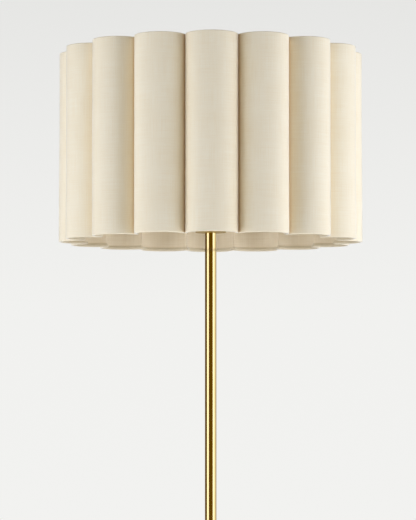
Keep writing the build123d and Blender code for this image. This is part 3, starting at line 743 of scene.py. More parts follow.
@dataclass(frozen=True)
class Phenolic(Finish):
    """Moulded black phenolic, glossy where it is touched."""

    colour: Colour = (0.022, 0.020, 0.019, 1.0)
    polish: float = 0.28

    def build(self) -> bpy.types.Material:
        """Nearly black plastic with a faint flow of brown in it."""
        graph = Graph(self.name)
        flow = graph.noise(graph.object_place(), 180.0, 3.0)
        graph.shade(Base_Color=graph.mix(flow, self.colour, (0.045, 0.034, 0.026, 1.0)))
        graph.shade(Roughness=graph.ranged(flow, 0.3, 0.7, self.polish, self.polish + 0.1))
        graph.bump(flow, 0.00003)
        return graph.material


@dataclass(frozen=True)
class Cardboard(Finish):
    """Pressed brown paper tube."""

    colour: Colour = (0.30, 0.20, 0.11, 1.0)

    def build(self) -> bpy.types.Material:
        """Brown paper with short fibres."""
        graph = Graph(self.name)
        fibres = graph.noise(graph.object_place((300, 300, 900)), 1.0, 4.0)
        graph.shade(Base_Color=graph.mix(fibres, self.colour, (0.42, 0.30, 0.18, 1.0)), Roughness=0.85)
        graph.bump(fibres, 0.00005)
        return graph.material


@dataclass(frozen=True)
class OpalGlass(Finish):
    """Glass with a white coating inside, so that it is milky and smooth."""

    colour: Colour = (0.90, 0.90, 0.87, 1.0)

    def build(self) -> bpy.types.Material:
        """A milky surface with clear gloss and the coating's faint clouds."""
        graph = Graph(self.name)
        clouds = graph.noise(graph.object_place(), 45.0, 3.0)
        thin = tinted(self.colour, 0.94, 0.94, 0.95)
        graph.shade(Base_Color=graph.mix(clouds, thin, self.colour), Roughness=0.22)
        graph.shade(Coat_Weight=0.6, Coat_Roughness=0.04)
        return graph.material


@dataclass(frozen=True)
class BlackGlass(Finish):
    """The fused black glass between a bulb's cap and its end contact."""

    colour: Colour = (0.012, 0.012, 0.016, 1.0)

    def build(self) -> bpy.types.Material:
        """Dark, glossy and slightly rippled."""
        graph = Graph(self.name)
        ripple = graph.noise(graph.object_place(), 500.0, 2.0)
        graph.shade(Base_Color=graph.mix(ripple, self.colour, (0.03, 0.03, 0.04, 1.0)), Roughness=0.1)
        graph.bump(ripple, 0.00004)
        return graph.material


CLOTH = ShadeCloth("shade_cloth", "shade_fabric")
LINING = LiningFilm("shade_film", "shade_backing")
POLE_BRASS = Brass("pole_brass", "brass")
SPUN_BRASS = Brass("spun_brass", "brass", polish=0.2, grain=Grain.SPUN)
CAST_BRASS = Brass("tumbled_brass", "brass", polish=0.22, grain=Grain.TUMBLED)
# The neck cap's brass, darkened as painted shade.
SHADE_DARKENED_CAP_BRASS = ShadeDarkenedSatinBrass("satin_brass_painted_shade", "brass")
SOCKET_BRASS = Brass("socket_brass", "socket_brass", (0.78, 0.55, 0.22, 1.0), 0.3, Grain.SPUN)
ZINC = Steel("zinc_plate", "zinc_steel")
CAP_METAL = Steel("bulb_cap_metal", "bulb_cap_metal", (0.78, 0.79, 0.80, 1.0), 0.25)
ENAMEL = Enamel("ring_enamel", "ring_wire")
IRON = CastIron("cast_iron", "cast_iron")
FELT = Felt("base_felt", "felt")
PHENOLIC = Phenolic("black_phenolic", "black_phenolic")
CARD = Cardboard("socket_card", "socket_paper")
OPAL = OpalGlass("opal_glass", "bulb_glass")
END_GLASS = BlackGlass("end_glass", "bulb_end_glass")

NODE_FINISHES: dict[Finish, tuple[str, ...]] = {
    POLE_BRASS: ("pole_lower", "pole_upper"),
    SPUN_BRASS: ("base_cover", "base_collar", "finial_washer", "sleeve_left", "sleeve_right"),
    SHADE_DARKENED_CAP_BRASS: ("neck_cap",),
    CAST_BRASS: ("harp_saddle", "harp_wire", "harp_crown"),
    SOCKET_BRASS: ("socket_cap", "socket_shell", "screw_shell", "centre_contact", "switch_bush"),
    ZINC: (
        "neck_lock_washer",
        "neck_nut",
        "neck_nipple",
        "base_washer",
        "base_lock_washer",
        "base_nut",
        "base_nipple",
        "pole_inserts",
        "pole_stud",
        "socket_set_screw",
        "terminal_screws",
        "switch_stem",
    ),
    ENAMEL: ("ring_top", "ring_bottom"),
    IRON: ("base_weight",),
    PHENOLIC: ("socket_body", "nipple_bush", "cord_bushing"),
    CARD: ("socket_insulator",),
    END_GLASS: ("bulb_insulator",),
    CAP_METAL: ("bulb_contact",),
}


def dress_nodes(nodes: dict[str, bpy.types.Object]) -> None:
    """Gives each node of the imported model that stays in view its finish."""
    for finish, names in NODE_FINISHES.items():
        for name in names:
            node = nodes[name]
            node.data.materials.clear()
            node.data.materials.append(finish.material())


@dataclass
class Scallops:
    """The shade's outline from above: half circles whose ends meet at the valleys.

    Attributes:
        outer_radius: Radius to the tops of the flutes.
        flutes: How many half circles there are.
        steps: Straight pieces in each half circle.
        nose_steps: Straight pieces round each valley.
        drag: How much of the way round a half circle counts in the angle that slow waves follow.
    """

    outer_radius: float
    flutes: int = 16
    steps: int = 26
    nose_steps: int = 5
    drag: float = 0.15

    def __post_init__(self) -> None:
        """Works out the circles from the outer radius."""
        self.half = math.pi / self.flutes
        self.circle = self.outer_radius / (1 + math.tan(self.half))
        self.flute = self.outer_radius - self.circle
        self.valley = self.circle / math.cos(self.half)
        self.lay_out()

    def lay_out(self) -> None:
        """Places the columns once for all depths.

        Each column is at c + (b + s d) u for a depth d: on a half circle c is its centre, b its radius
        and s = -1; round a valley c is the valley's corner, b = 0 and s = 1. u is a unit vector.
        """
        flute = np.arange(self.flutes)[:, None] * 2 * self.half
        sweep = np.linspace(-np.pi / 2, np.pi / 2, self.steps + 1)[None]
        nose = np.linspace(0, 2 * self.half - np.pi, self.nose_steps + 1)[None, 1:-1]
        on_flute, on_nose = np.ones_like(sweep), np.ones_like(nose)

        def columns(flutes: np.ndarray, noses: np.ndarray) -> np.ndarray:
            """Values on the half circles and round the valleys, in the columns' order."""
            return np.concatenate((flute * 0 + flutes, flute * 0 + noses), 1).ravel()

        direction = columns(flute + sweep, flute + 1.5 * np.pi + nose)
        middle = columns(flute * on_flute, (flute + self.half) * on_nose)
        reach = columns(self.circle * on_flute, self.valley * on_nose)
        self.outward = np.stack((np.cos(direction), np.sin(direction)), -1)
        self.centre = reach[:, None] * np.stack((np.cos(middle), np.sin(middle)), -1)
        self.base = columns(self.flute * on_flute, 0 * on_nose)
        self.sign = columns(-on_flute, on_nose)
        self.across = np.abs(columns(np.sin(sweep), on_nose))
        self.angle = middle + columns(sweep, 0 * on_nose) * self.drag

    def shell(self, insets: np.ndarray, heights: np.ndarray, wander: np.ndarray) -> np.ndarray:
        """Points at each row's depth and height.

        Args:
            insets: Depth of each row behind the outer face.
            heights: Height of each row.
            wander: How far each point lies outside its place.

        Returns:
            Array of rows, columns and x, y, z.
        """
        length = self.base + self.sign * insets[:, None] + wander
        flat = self.centre + length[..., None] * self.outward
        tall = np.broadcast_to(heights[:, None], length.shape)
        return np.concatenate((flat, tall[..., None]), -1)

    def lengths(self, inset: float) -> np.ndarray:
        """Distance along the outline at a depth, with one more entry for the way back to the start."""
        flat = self.centre + (self.base + self.sign * inset)[:, None] * self.outward
        steps = np.linalg.norm(np.roll(flat, -1, axis=0) - flat, axis=1)
        return np.concatenate(((0.0,), np.cumsum(steps)))


@dataclass
class Shade:
    """The fluted drum: cloth turned in over two wire rings, a film behind it, and the spider.

    Attributes:
        cloth_thickness: Thickness of the cloth.
        cloth_depth: The least depth of its outer face.
        film_depth: Depth of the film's outer face behind the cloth's.
        film_thickness: Thickness of the film.
        film_short: How much lower than the cloth's edge the film ends.
        hem_depth: Depth of the turned-in cloth's middle beside the rings.
        hem_height: Height of the turned-in cloth.
        hem_roll: How much of it is rolled round the ring.
        hem_tuck: Depth of the turned-in cloth's middle where it is glued to the film.
        drift: How far the cloth wanders from its half circles.
        drawn_in: How much its waves are moved inward, where 1 is their own height.
        furthest_in: The furthest inward that they go.
        valley_shade_reach: Share of a half circle's width, at its end, over which the cloth darkens with
            painted shade.
        valley_shade_tone: How much of the painted valley shade it takes at its very end, from 0 to 1.
        painted_bounce_start: Where the faint painted warm shade of bounced light starts, as a share of
            the half width.
        painted_bounce_reach: Share of the half width over which that painted shade grows.
        painted_bounce_tone: How strong it gets.
        top_rim_shade_reach: Distance from the top rim at which the painted rim shade is gone.
        bottom_rim_shade_reach: The same at the lower rim.
        row_step: Height of the rows between the hems.
    """

    cloth_thickness: float = 0.6
    cloth_depth: float = 0.05
    film_depth: float = 0.85
    film_thickness: float = 0.45
    film_short: float = 1.0
    hem_depth: float = 4.15
    hem_height: float = 6.8
    hem_roll: float = 4.4
    hem_tuck: float = 1.72
    drift: float = 0.35
    drawn_in: float = 0.6
    furthest_in: float = -1.4
    valley_shade_reach: float = 0.035
    valley_shade_tone: float = 0.6
    painted_bounce_start: float = 0.72
    painted_bounce_reach: float = 0.24
    painted_bounce_tone: float = 0.1
    top_rim_shade_reach: float = 1.6
    bottom_rim_shade_reach: float = 0.6
    row_step: float = 5.0

    def build(self) -> None:
        """Makes the cloth, the film and the spider."""
        low, high = span("shade_panels")
        self.bottom, self.top = low[2], high[2]
        self.scallops = Scallops(outer_radius=high[0])
        self.make_cloth()
        self.make_film()
        Spider(self.scallops).build()

    def cloth_path(self) -> np.ndarray:
        """Depth and height along the cloth's middle, from the upper hem's end to the lower one's."""
        face = self.cloth_thickness / 2
        sides = []
        for edge, way in ((self.top, -1), (self.bottom, 1)):
            sides.append(
                [
                    (self.hem_tuck, edge + way * self.hem_height, 0),
                    (self.hem_tuck, edge + way * self.hem_roll, 0.3),
                    (self.hem_depth, edge + way * (self.hem_roll - 0.35), 0.8),
                    (self.hem_depth, edge + way * face, 1.7),
                    (face, edge + way * face, 1.5),
                ]
            )
        corners = sides[0] + sides[1][::-1]
        return divided(rounded(corners, steps=5), self.row_step)

    def make_cloth(self) -> None:
        """Carries the cloth's section round the scallops.

        The position on the cloth is the distance round the outline and the distance along the section.
        """
        path = self.cloth_path()
        section = offset_band(path, self.cloth_thickness)
        section[:, 0] = np.maximum(section[:, 0], self.cloth_depth)
        points = self.shell(section)
        along = np.concatenate(((0.0,), np.cumsum(np.linalg.norm(np.diff(path, axis=0), axis=1))))
        down = np.concatenate((along, along[::-1], along[:1]))
        around = self.scallops.lengths(self.cloth_thickness / 2)
        cloth = np.stack(np.broadcast_arrays(around[None], down[:, None]), -1)
        # Both marks are painted shade: towards the valleys, and along the rims and on the turned-in
        # cloth.
        marks = {"valley_shade": self.valley_shade_share(section), "edge": self.rim_shade_share(section)}
        grid = Grid(points, closed=True, cloth=cloth, marks=marks)
        cover = piece("shade_cover", [grid], CLOTH, Body.SHADE, sharp=50)
        cover.visible_glossy = False
        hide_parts("shade_panels", "hem_top", "hem_bottom")

    def shell(self, section: np.ndarray) -> np.ndarray:
        """A section of depth and height carried round the scallops, with the taut cloth's slow waves.

        Between the rings and away from the seams it leaves the half circles by
        d w(a, z) sin(pi z / h) cos(a) squared, where w is a sum of slow waves, drawn inward and held
        at the furthest that they may go.
        """
        heights = section[:, 1:] - self.bottom
        share = np.clip(heights / (self.top - self.bottom), 0, 1)
        slack = waves(self.scallops.angle[None], heights, seed=11) - self.drawn_in
        slack = np.maximum(slack, self.furthest_in)
        wander = self.drift * slack * np.sin(np.pi * share) * (1 - self.scallops.across**2)
        return self.scallops.shell(section[:, 0], section[:, 1], wander)

    def valley_shade_share(self, section: np.ndarray) -> np.ndarray:
        """How much of the painted valley shade each point of the outer face takes.

        It is painted shade: faint over the last quarter of a half circle's width, strong at its very
        end.
        It is whole down to a depth of 0.1 mm, and gone at 0.4 mm.
        """
        across = self.scallops.across
        # Painted shade down in the valley, strong at a half circle's very end.
        crease_shade = np.clip((across - (1 - self.valley_shade_reach)) / self.valley_shade_reach, 0, 1)
        # Painted warm shade of light bounced between the flutes, faint over the last quarter of the
        # width.
        glow = np.clip((across - self.painted_bounce_start) / self.painted_bounce_reach, 0, 1)
        outside = np.clip(1 - (section[:, :1] - 0.1) / 0.3, 0, 1)
        return outside * np.maximum(crease_shade**2 * self.valley_shade_tone, glow * self.painted_bounce_tone)

    def rim_shade_share(self, section: np.ndarray) -> np.ndarray:
        """How much of the painted rim shade each point takes.

        All of it along the top rim and on the turned-in cloth, which begins at a depth of 1.2 to
        1.6 mm, and half of it under the lower rim.
        """
        depth, height = section[:, :1], section[:, 1:]
        top_rim = np.clip(self.top_rim_shade_reach - (self.top - height), 0, 1)
        turned_in = np.clip((depth - 1.2) / 0.4, 0, 1)
        bottom_rim = np.clip(self.bottom_rim_shade_reach - (height - self.bottom), 0, 0.5)
        share = np.maximum(np.maximum(top_rim, turned_in), bottom_rim)
        return share * np.ones_like(self.scallops.across)

    def make_film(self) -> None:
        """The film: a thin closed wall behind the cloth."""
        near, far = self.film_depth, self.film_depth + self.film_thickness
        low, high = self.bottom + self.film_short, self.top - self.film_short
        corners = [(near, low, 0.1), (far, low, 0.1), (far, high, 0.1), (near, high, 0.1)]
        section = divided(rounded(corners, steps=2, closed=True), self.row_step * 2, closed=True)
        points = self.shell(section)
        around = self.scallops.lengths(near)
        down = np.concatenate((section[:, 1], section[:1, 1])) - self.bottom
        cloth = np.stack(np.broadcast_arrays(around[None], down[:, None]), -1)
        grid = Grid(points, closed=True, cloth=cloth)
        film = piece("shade_film", [grid], LINING, Body.SHADE, sharp=50)
        film.visible_glossy = False
        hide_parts("shade_liner")


@dataclass
class Spider:
    """A pressed washer on the harp's stud, with four arms that climb to the upper ring.

    Attributes:
        scallops: The shade's outline.
        arms: How many arms there are.
        wire: Radius of an arm.
        washer_radius: Radius of the washer.
        hole: Radius of its hole.
        thickness: Thickness of the washer.
        bead_half: Half the width of the bead pressed into it.
        bead_rise: Height of that bead.
        flat: Length of an arm's level ends.
        bend: Radius of its bends.
        weld: Radius of the weld at its end.
        weld_back: How far the weld's middle reaches back along the arm.
        weld_on: How far it reaches on past the arm's end.
    """

    scallops: Scallops
    arms: int = 4
    wire: float = 1.5
    washer_radius: float = 19.0
    hole: float = 3.475
    thickness: float = 1.5
    bead_half: float = 2.2
    bead_rise: float = 0.6
    flat: float = 30.0
    bend: float = 40.0
    weld: float = 2.0
    weld_back: float = 1.2
    weld_on: float = 0.6

    def build(self) -> None:
        """Makes the washer, the arms and the welds as one piece, from the box of the solid one."""
        low, high = span("shade_spider")
        washer_bottom = low[2]
        ring = span("ring_top")
        ring_height = (ring[0][2] + ring[1][2]) / 2
        arm_end = high[0] / math.cos(self.scallops.half) - self.wire
        grids = [self.washer(washer_bottom)]
        path = self.arm_path(washer_bottom + self.wire / 2, ring_height, arm_end)
        for arm in range(self.arms):
            angle = self.scallops.half + arm * 2 * np.pi / self.arms
            grids += self.arm(path, angle)
        spider = piece("shade_spider_wires", grids, ENAMEL, Body.SHADE)
        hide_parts("shade_spider")

    def washer(self, bottom: float) -> Grid:
        """The washer, with a bead pressed into it half way out."""
        middle = (self.hole + self.washer_radius) / 2
        top, half = bottom + self.thickness, self.bead_half
        corners = [
            (self.hole, bottom, 0.2),
            (self.washer_radius, bottom, 0.4),
            (self.washer_radius, top, 0.4),
            (middle + half, top, 1.0),
            (middle + half / 2, top + self.bead_rise, 0.8),
            (middle - half / 2, top + self.bead_rise, 0.8),
            (middle - half, top, 1.0),
            (self.hole, top, 0.2),
        ]
        return turned(held(rounded(corners, steps=3, closed=True), 0.4, closed=True), closed=True)

    def arm_path(self, start_height: float, end_height: float, reach: float) -> np.ndarray:
        """Distance from the axis and height along an arm: level, climbing, level."""
        corners = [
            (self.washer_radius - self.wire, start_height, 0),
            (self.washer_radius + self.flat, start_height, self.bend),
            (reach - self.flat, end_height, self.bend),
            (reach, end_height, 0),
        ]
        return rounded(corners, steps=8)

    def arm(self, path: np.ndarray, angle: float) -> list[Grid]:
        """One arm at an angle, with a bead of weld where it meets the ring."""
        outward = np.array((math.cos(angle), math.sin(angle), 0.0))
        side = np.array((-math.sin(angle), math.cos(angle), 0.0))
        up = np.array((0.0, 0.0, 1.0))
        places = path[:, :1] * outward + path[:, 1:] * up
        end = places[-1]
        bead = np.stack((end - outward * self.weld_back, end, end + outward * self.weld_on))
        return [bar(places, side, self.wire), bar(bead, side, self.weld)]


@dataclass
class HarpStud:
    """The swivel stud: a barb and neck in the crown, a flange on it and a thread above.

    Attributes:
        thread_radius: Outside radius of the thread.
        pitch: Rise of the thread in one turn.
        depth: Depth of the thread.
        flange_radius: Radius of the flange.
        flange: Thickness of the flange.
        neck_radius: Radius of the neck in the crown.
        barb_radius: Radius of the barb under the crown.
        barb: Height of the barb.
        chamfer: Size of the thread's chamfer at the top.
        turn_rows: Rows in one turn of the thread.
        run_in: Rows over which the thread comes in.
        end_share: The thread's share where the chamfer ends.
    """

    thread_radius: float = 3.175
    pitch: float = 25.4 / 27
    depth: float = 0.5
    flange_radius: float = 6.0
    flange: float = 1.5
    neck_radius: float = 2.25
    barb_radius: float = 2.75
    barb: float = 1.8
    chamfer: float = 0.6
    turn_rows: int = 10
    run_in: int = 8
    end_share: float = 0.2

    def build(self) -> None:
        """Makes the stud from its lower end up."""
        low, high = span("harp_stud")
        seat = span("harp_crown")[1][2]
        flange_top = seat + self.flange
        lower = held(
            rounded(
                [
                    (0, low[2], 0),
                    (self.barb_radius, low[2], 0.2),
                    (self.barb_radius, low[2] + self.barb, 0.2),
                    (self.neck_radius, low[2] + self.barb, 0),
                    (self.neck_radius, seat + 0.02, 0),
                    (self.flange_radius, seat + 0.02, 0.3),
                    (self.flange_radius, flange_top, 0.3),
                    (self.thread_radius, flange_top, 0),
                ],
                steps=3,
            ),
            0.3,
        )
        heights = np.arange(flange_top, high[2] - self.chamfer, self.pitch / self.turn_rows)
        shaft = np.stack((np.full(len(heights), self.thread_radius), heights), -1)
        end = np.array(((self.thread_radius - self.chamfer, high[2]), (0.0, high[2])))
        profile = np.concatenate((lower, shaft[1:], end))
        share = np.zeros(len(profile))
        first = len(lower)
        share[first: first + len(shaft) - 1] = np.clip(np.arange(len(shaft) - 1) / self.run_in, 0, 1)
        share[-2] = self.end_share
        screw = threaded(profile, self.pitch, self.depth, share, segments=32)
        stud = piece("swivel_stud", [screw], SPUN_BRASS, Body.SHADE)
        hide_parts("harp_stud")


@dataclass
class Finial:
    """A turned brass finial: foot, cove, collar and ball, bored for the stud.

    Attributes:
        foot_radius: Radius of the foot.
        neck_radius: Radius of the neck.
        ball_radius: Radius of the ball.
        bore_radius: Radius of its bore.
        bore_depth: Depth of its bore.
    """

    foot_radius: float = 7.0
    neck_radius: float = 4.4
    ball_radius: float = 8.5
    bore_radius: float = 3.225
    bore_depth: float = 14.5

    def build(self) -> None:
        """Turns the finial from its bore outward and up over the ball."""
        low, high = span("finial_knob")
        bottom, top = low[2], high[2]
        centre = top - self.ball_radius
        join = -math.acos(self.neck_radius / self.ball_radius)
        angle = np.linspace(join, np.pi / 2, 28)
        ball = self.ball_radius * np.stack((np.cos(angle), np.sin(angle)), -1) + (0.0, centre)
        ball[-1, 0] = 0.0
        foot = rounded(
            [
                (0, bottom + self.bore_depth, 0),
                (self.bore_radius, bottom + self.bore_depth, 0.2),
                (self.bore_radius, bottom, 0.4),
                (self.foot_radius, bottom, 0.9),
                (self.foot_radius, bottom + 2.6, 0.9),
                (self.neck_radius + 0.5, bottom + 2.9, 0.5),
                (self.neck_radius - 0.2, bottom + 4.4, 1.2),
                (self.neck_radius, bottom + 6.4, 0.5),
                (self.neck_radius + 1.0, bottom + 6.9, 0.4),
                (self.neck_radius + 1.0, bottom + 8.0, 0.4),
                (self.neck_radius, float(ball[0, 1]) - 0.2, 0),
            ],
            steps=4,
        )
        profile = np.concatenate((held(foot, 0.3), ball))
        knob = piece("finial_ball", [turned(profile, 72)], SPUN_BRASS, Body.FINIAL)
        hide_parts("finial_knob")


@dataclass
class Socket:
    """What is added to the bulb's socket: pressed beads on its shell, and the grooved switch knob.

    Attributes:
        bead_radius: Radius of a bead's section.
        bead_sunk: How deep a bead's middle lies in the wall.
        bead_sides: Points round a bead's section.
        knob_grooves: Grooves round the knob.
        groove_depth: Depth of a groove.
        groove_steps: Points from one groove to the next.
        core_radius: Radius inside which the grooves don't reach into the end faces.
        box_cut: How much the solid knob's own grooves take off half its height.
        bore_radius: Radius of the knob's bore.
        bore_depth: Depth of the knob's bore.
    """

    bead_radius: float = 0.55
    bead_sunk: float = 0.2
    bead_sides: int = 12
    knob_grooves: int = 12
    groove_depth: float = 0.6
    groove_steps: int = 12
    core_radius: float = 3.0
    box_cut: float = 0.05
    bore_radius: float = 2.05
    bore_depth: float = 6.1

    def build(self) -> None:
        """Makes the beads, two on the shell and one on its cap, and the knob."""
        shell = span("socket_shell")[1]
        cap = span("socket_cap")[1]
        rings = ((shell, 0.5), (shell, 6.0), (cap, 1.2))
        grids = [self.bead(high[0] - self.bead_sunk, high[2] - below) for high, below in rings]
        piece("socket_beads", grids, SOCKET_BRASS, Body.STAND)
        self.knob()

    def bead(self, radius: float, height: float) -> Grid:
        """A ring of round section: (R + r cos a, h + r sin a)."""
        angle = np.arange(self.bead_sides) * 2 * np.pi / self.bead_sides
        section = self.bead_radius * np.stack((np.cos(angle), np.sin(angle)), -1) + (radius, height)
        return turned(section, 72, closed=True)

    def knob(self) -> None:
        """The knob: a turned bar whose side is drawn in at each groove.

        At an angle a the radius r becomes r (1 - g s c(a) / R), where c is cos(n a / 2) to the eighth
        power for n grooves, g is their depth, R is the knob's radius, and s rises from 0 at the core to
        1 at the side.
        """
        low, high = span("switch_knob")
        radius, length = (high[2] - low[2]) / 2 + self.box_cut, high[1] - low[1]
        inner, height = -high[1], (high[2] + low[2]) / 2
        corners = [
            (0, self.bore_depth, 0),
            (self.bore_radius, self.bore_depth, 0),
            (self.bore_radius, 0, 0.3),
            (radius - 1.6, 0, 0.4),
            (radius, 1.2, 0.8),
            (radius, length, 1.5),
            (radius - 2.4, length, 0.3),
            (radius - 2.8, length - 0.5, 0.3),
            (0, length - 0.5, 0),
        ]
        profile = held(rounded(corners, steps=4), 0.35)
        grid = turned(profile, self.knob_grooves * self.groove_steps)
        angle = np.arctan2(grid.points[..., 1], grid.points[..., 0])
        groove = np.cos(angle * self.knob_grooves / 2) ** 8
        outer = np.clip((profile[:, 0, None] - self.core_radius) / (radius - self.core_radius), 0, 1)
        grid.points[..., :2] *= (1 - self.groove_depth / radius * groove * outer)[..., None]
        grid.points[..., 2] += inner
        knob = piece("knob_grooved", [facing_front(grid, height)], PHENOLIC, Body.SWITCH)
        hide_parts("switch_knob")


@dataclass
class Bulb:
    """An opal bulb, a ball on a drawn-in neck, and its threaded cap.

    Attributes:
        pitch: Rise of the cap's thread in one turn.
        depth: Depth of the thread.
        wall_rows: Rows of the cap's threaded wall.
        run_in: Rows over which the thread comes in and fades out.
        neck_radius: Radius of the glass where it leaves the cap.
        pull: Length of the handles that bend the neck into the ball.
        meet: Where the neck meets the ball, in degrees above the ball's middle.
    """

    pitch: float = 25.4 / 7
    depth: float = 0.85
    wall_rows: int = 66
    run_in: int = 6
    neck_radius: float = 13.3
    pull: float = 15.0
    meet: float = -22.0

    def build(self) -> None:
        """Makes the glass and the cap."""
        self.glass()
        self.cap()

    def glass(self) -> None:
        """The glass: a cubic Bezier curve up from the neck, then the ball's circle.

        The curve leaves the neck straight up and meets the ball below its middle, along its tangent.
        """
        low, high = span("bulb_globe")
        radius = high[0]
        centre, cap_top = high[2] - radius, span("bulb_cap")[1][2]
        meet = math.radians(self.meet)
        start = np.array((self.neck_radius, cap_top + 1.5))
        end = np.array((radius * math.cos(meet), centre + radius * math.sin(meet)))
        tangent = np.array((-math.sin(meet), math.cos(meet)))
        handles = (start, start + (0, self.pull), end - self.pull * tangent, end)
        share = np.linspace(0, 1, 24)[:, None]
        weights = ((1 - share) ** 3, 3 * share * (1 - share) ** 2, 3 * share**2 * (1 - share), share**3)
        neck = sum(weight * point for weight, point in zip(weights, handles))
        angle = np.linspace(meet, np.pi / 2, 32)[1:]
        ball = np.stack((radius * np.cos(angle), centre + radius * np.sin(angle)), -1)
        ball[-1, 0] = 0.0
        foot = np.array(
            (
                (0.0, low[2]),
                (12.4, low[2]),
                (12.5, cap_top - 0.4),
                (self.neck_radius, cap_top + 0.3),
            )
        )
        globe = piece("bulb_opal", [turned(np.concatenate((foot, neck, ball)))], OPAL, Body.BULB)
        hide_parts("bulb_globe")

    def cap(self) -> None:
        """The cap: a cone, a threaded wall and a plain rim crimped to the glass."""
        low, high = span("bulb_cap")
        radius, bottom, top = high[0], low[2], high[2]
        lower = np.array(((0.0, bottom), (9.0, bottom), (12.2, bottom + 2.4)))
        heights = np.linspace(bottom + 3.0, top - 3.2, self.wall_rows)
        wall = np.stack((np.full(self.wall_rows, radius), heights), -1)
        rim = rounded(
            [
                (radius - 0.2, top - 2.6, 0),
                (radius, top - 0.4, 0.3),
                (12.7, top, 0.2),
                (12.6, top - 1.5, 0),
                (0, top - 1.5, 0),
            ],
            steps=3,
        )
        profile = np.concatenate((lower, wall, rim))
        row = np.arange(self.wall_rows)
        from_end = np.minimum(row, self.wall_rows - 1 - row)
        share = np.zeros(len(profile))
        share[len(lower): len(lower) + self.wall_rows] = np.clip(from_end / self.run_in, 0, 1)
        screw = threaded(profile, self.pitch, self.depth, share, segments=72)
        cap = piece("bulb_cap_threaded", [screw], CAP_METAL, Body.BULB)
        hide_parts("bulb_cap")


@dataclass
class Base:
    """The felt under the base, in place of the plain one.

    Attributes:
        hole: Radius of the felt's opening.
        fuzz: How far the felt's edge wanders.
        fuzz_width: Width of the ring in which it does.
    """

    hole: float = 30.0
    fuzz: float = 0.25
    fuzz_width: float = 3.0

    def build(self) -> None:
        """Makes the felt ring: a soft-edged pad whose outer edge is uneven.

        Near the edge each point moves toward the axis by f (1 + w) / 2, where w is a product of waves.
        """
        outer, _, top = span("base_pad")[1]
        corners = [(self.hole, 0, 0.5), (outer, 0, 0.7), (outer, top, 0.5), (self.hole, top, 0.3)]
        section = rounded(corners, steps=4, closed=True)
        filled = held(held(section, 6.0, closed=True), 2.0, closed=True)
        grid = turned(filled, 360, closed=True)
        angle = np.arctan2(grid.points[..., 1], grid.points[..., 0])
        coarse = waves(angle * 19, filled[:, :1] * 8, seed=5)
        fine = waves(angle * 47, filled[:, 1:] * 90, seed=9)
        edge = np.clip((filled[:, :1] - (outer - self.fuzz_width)) / self.fuzz_width, 0, 1)
        shrink = 1 - self.fuzz * edge * (0.5 + 0.5 * np.clip(coarse * fine, -1, 1)) / outer
        grid.points[..., :2] *= shrink[..., None]
        pad = piece("felt_pad", [grid], FELT, Body.STAND, sharp=60)
        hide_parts("base_pad")


DAYLIGHT = (0.98, 1.0, 1.07)
AMBIENT: Colour = (0.13, 0.108, 0.077, 1.0)
BACKDROP: Colour = srgb(242, 242, 240)
BACKDROP_STOPS = (
    (0.0, BACKDROP),
    (0.42, srgb(241, 241, 239)),
    (0.72, srgb(236, 236, 234)),
    (1.0, srgb(230, 230, 228)),
)
CEILING: Colour = (0.62, 0.60, 0.56, 1.0)
CEILING_STOPS = (
    (0.0, (0.0, 0.0, 0.0, 1.0)),
    (1.0, (1.0, 1.0, 1.0, 1.0)),
)
REFLECTED_STOPS = (
    (0.0, (0.13, 0.070, 0.0, 1.0)),
    (0.92, (0.12, 0.066, 0.0, 1.0)),
    (0.98, (0.70, 0.68, 0.62, 1.0)),
    (1.0, (0.84, 0.84, 0.82, 1.0)),
)


@dataclass(frozen=True)
class Softbox:
    """A large soft light that stands round the lamp.

    Attributes:
        name: Its name.
        start: Angle from the camera's side to its near edge, in degrees, more than 0 to the right.
        end: Angle to its far edge.
        radiance: Its brightness, where 1 is white.
        mirrored: Whether polished metal shows it. A fill light isn't shown.
        distance: Distance from the lamp's axis to its middle, in metres.
        middle: Height of its middle, in metres.
        height: Its height, in metres.
    """

    name: str
    start: float
    end: float
    radiance: float
    mirrored: bool = True
    distance: float = 2.0
    middle: float = 1.2
    height: float = 2.4

    def build(self) -> None:
        """Hangs the light square to the line from the lamp; its power is radiance x pi x area."""
        angle = math.radians((self.start + self.end) / 2)
        width = 2 * self.distance * math.tan(math.radians(abs(self.end - self.start)) / 2)
        data = bpy.data.lights.new(self.name, "AREA")
        data.shape = "RECTANGLE"
        data.size, data.size_y = width, self.height
        data.energy = self.radiance * math.pi * width * self.height
        data.color = DAYLIGHT
        light = bpy.data.objects.new(self.name, data)
        light.location = (self.distance * math.sin(angle), -self.distance * math.cos(angle), self.middle)
        light.rotation_euler = (math.radians(90), 0, angle)
        light.visible_camera = False
        light.visible_glossy = self.mirrored
        bpy.context.scene.collection.objects.link(light)


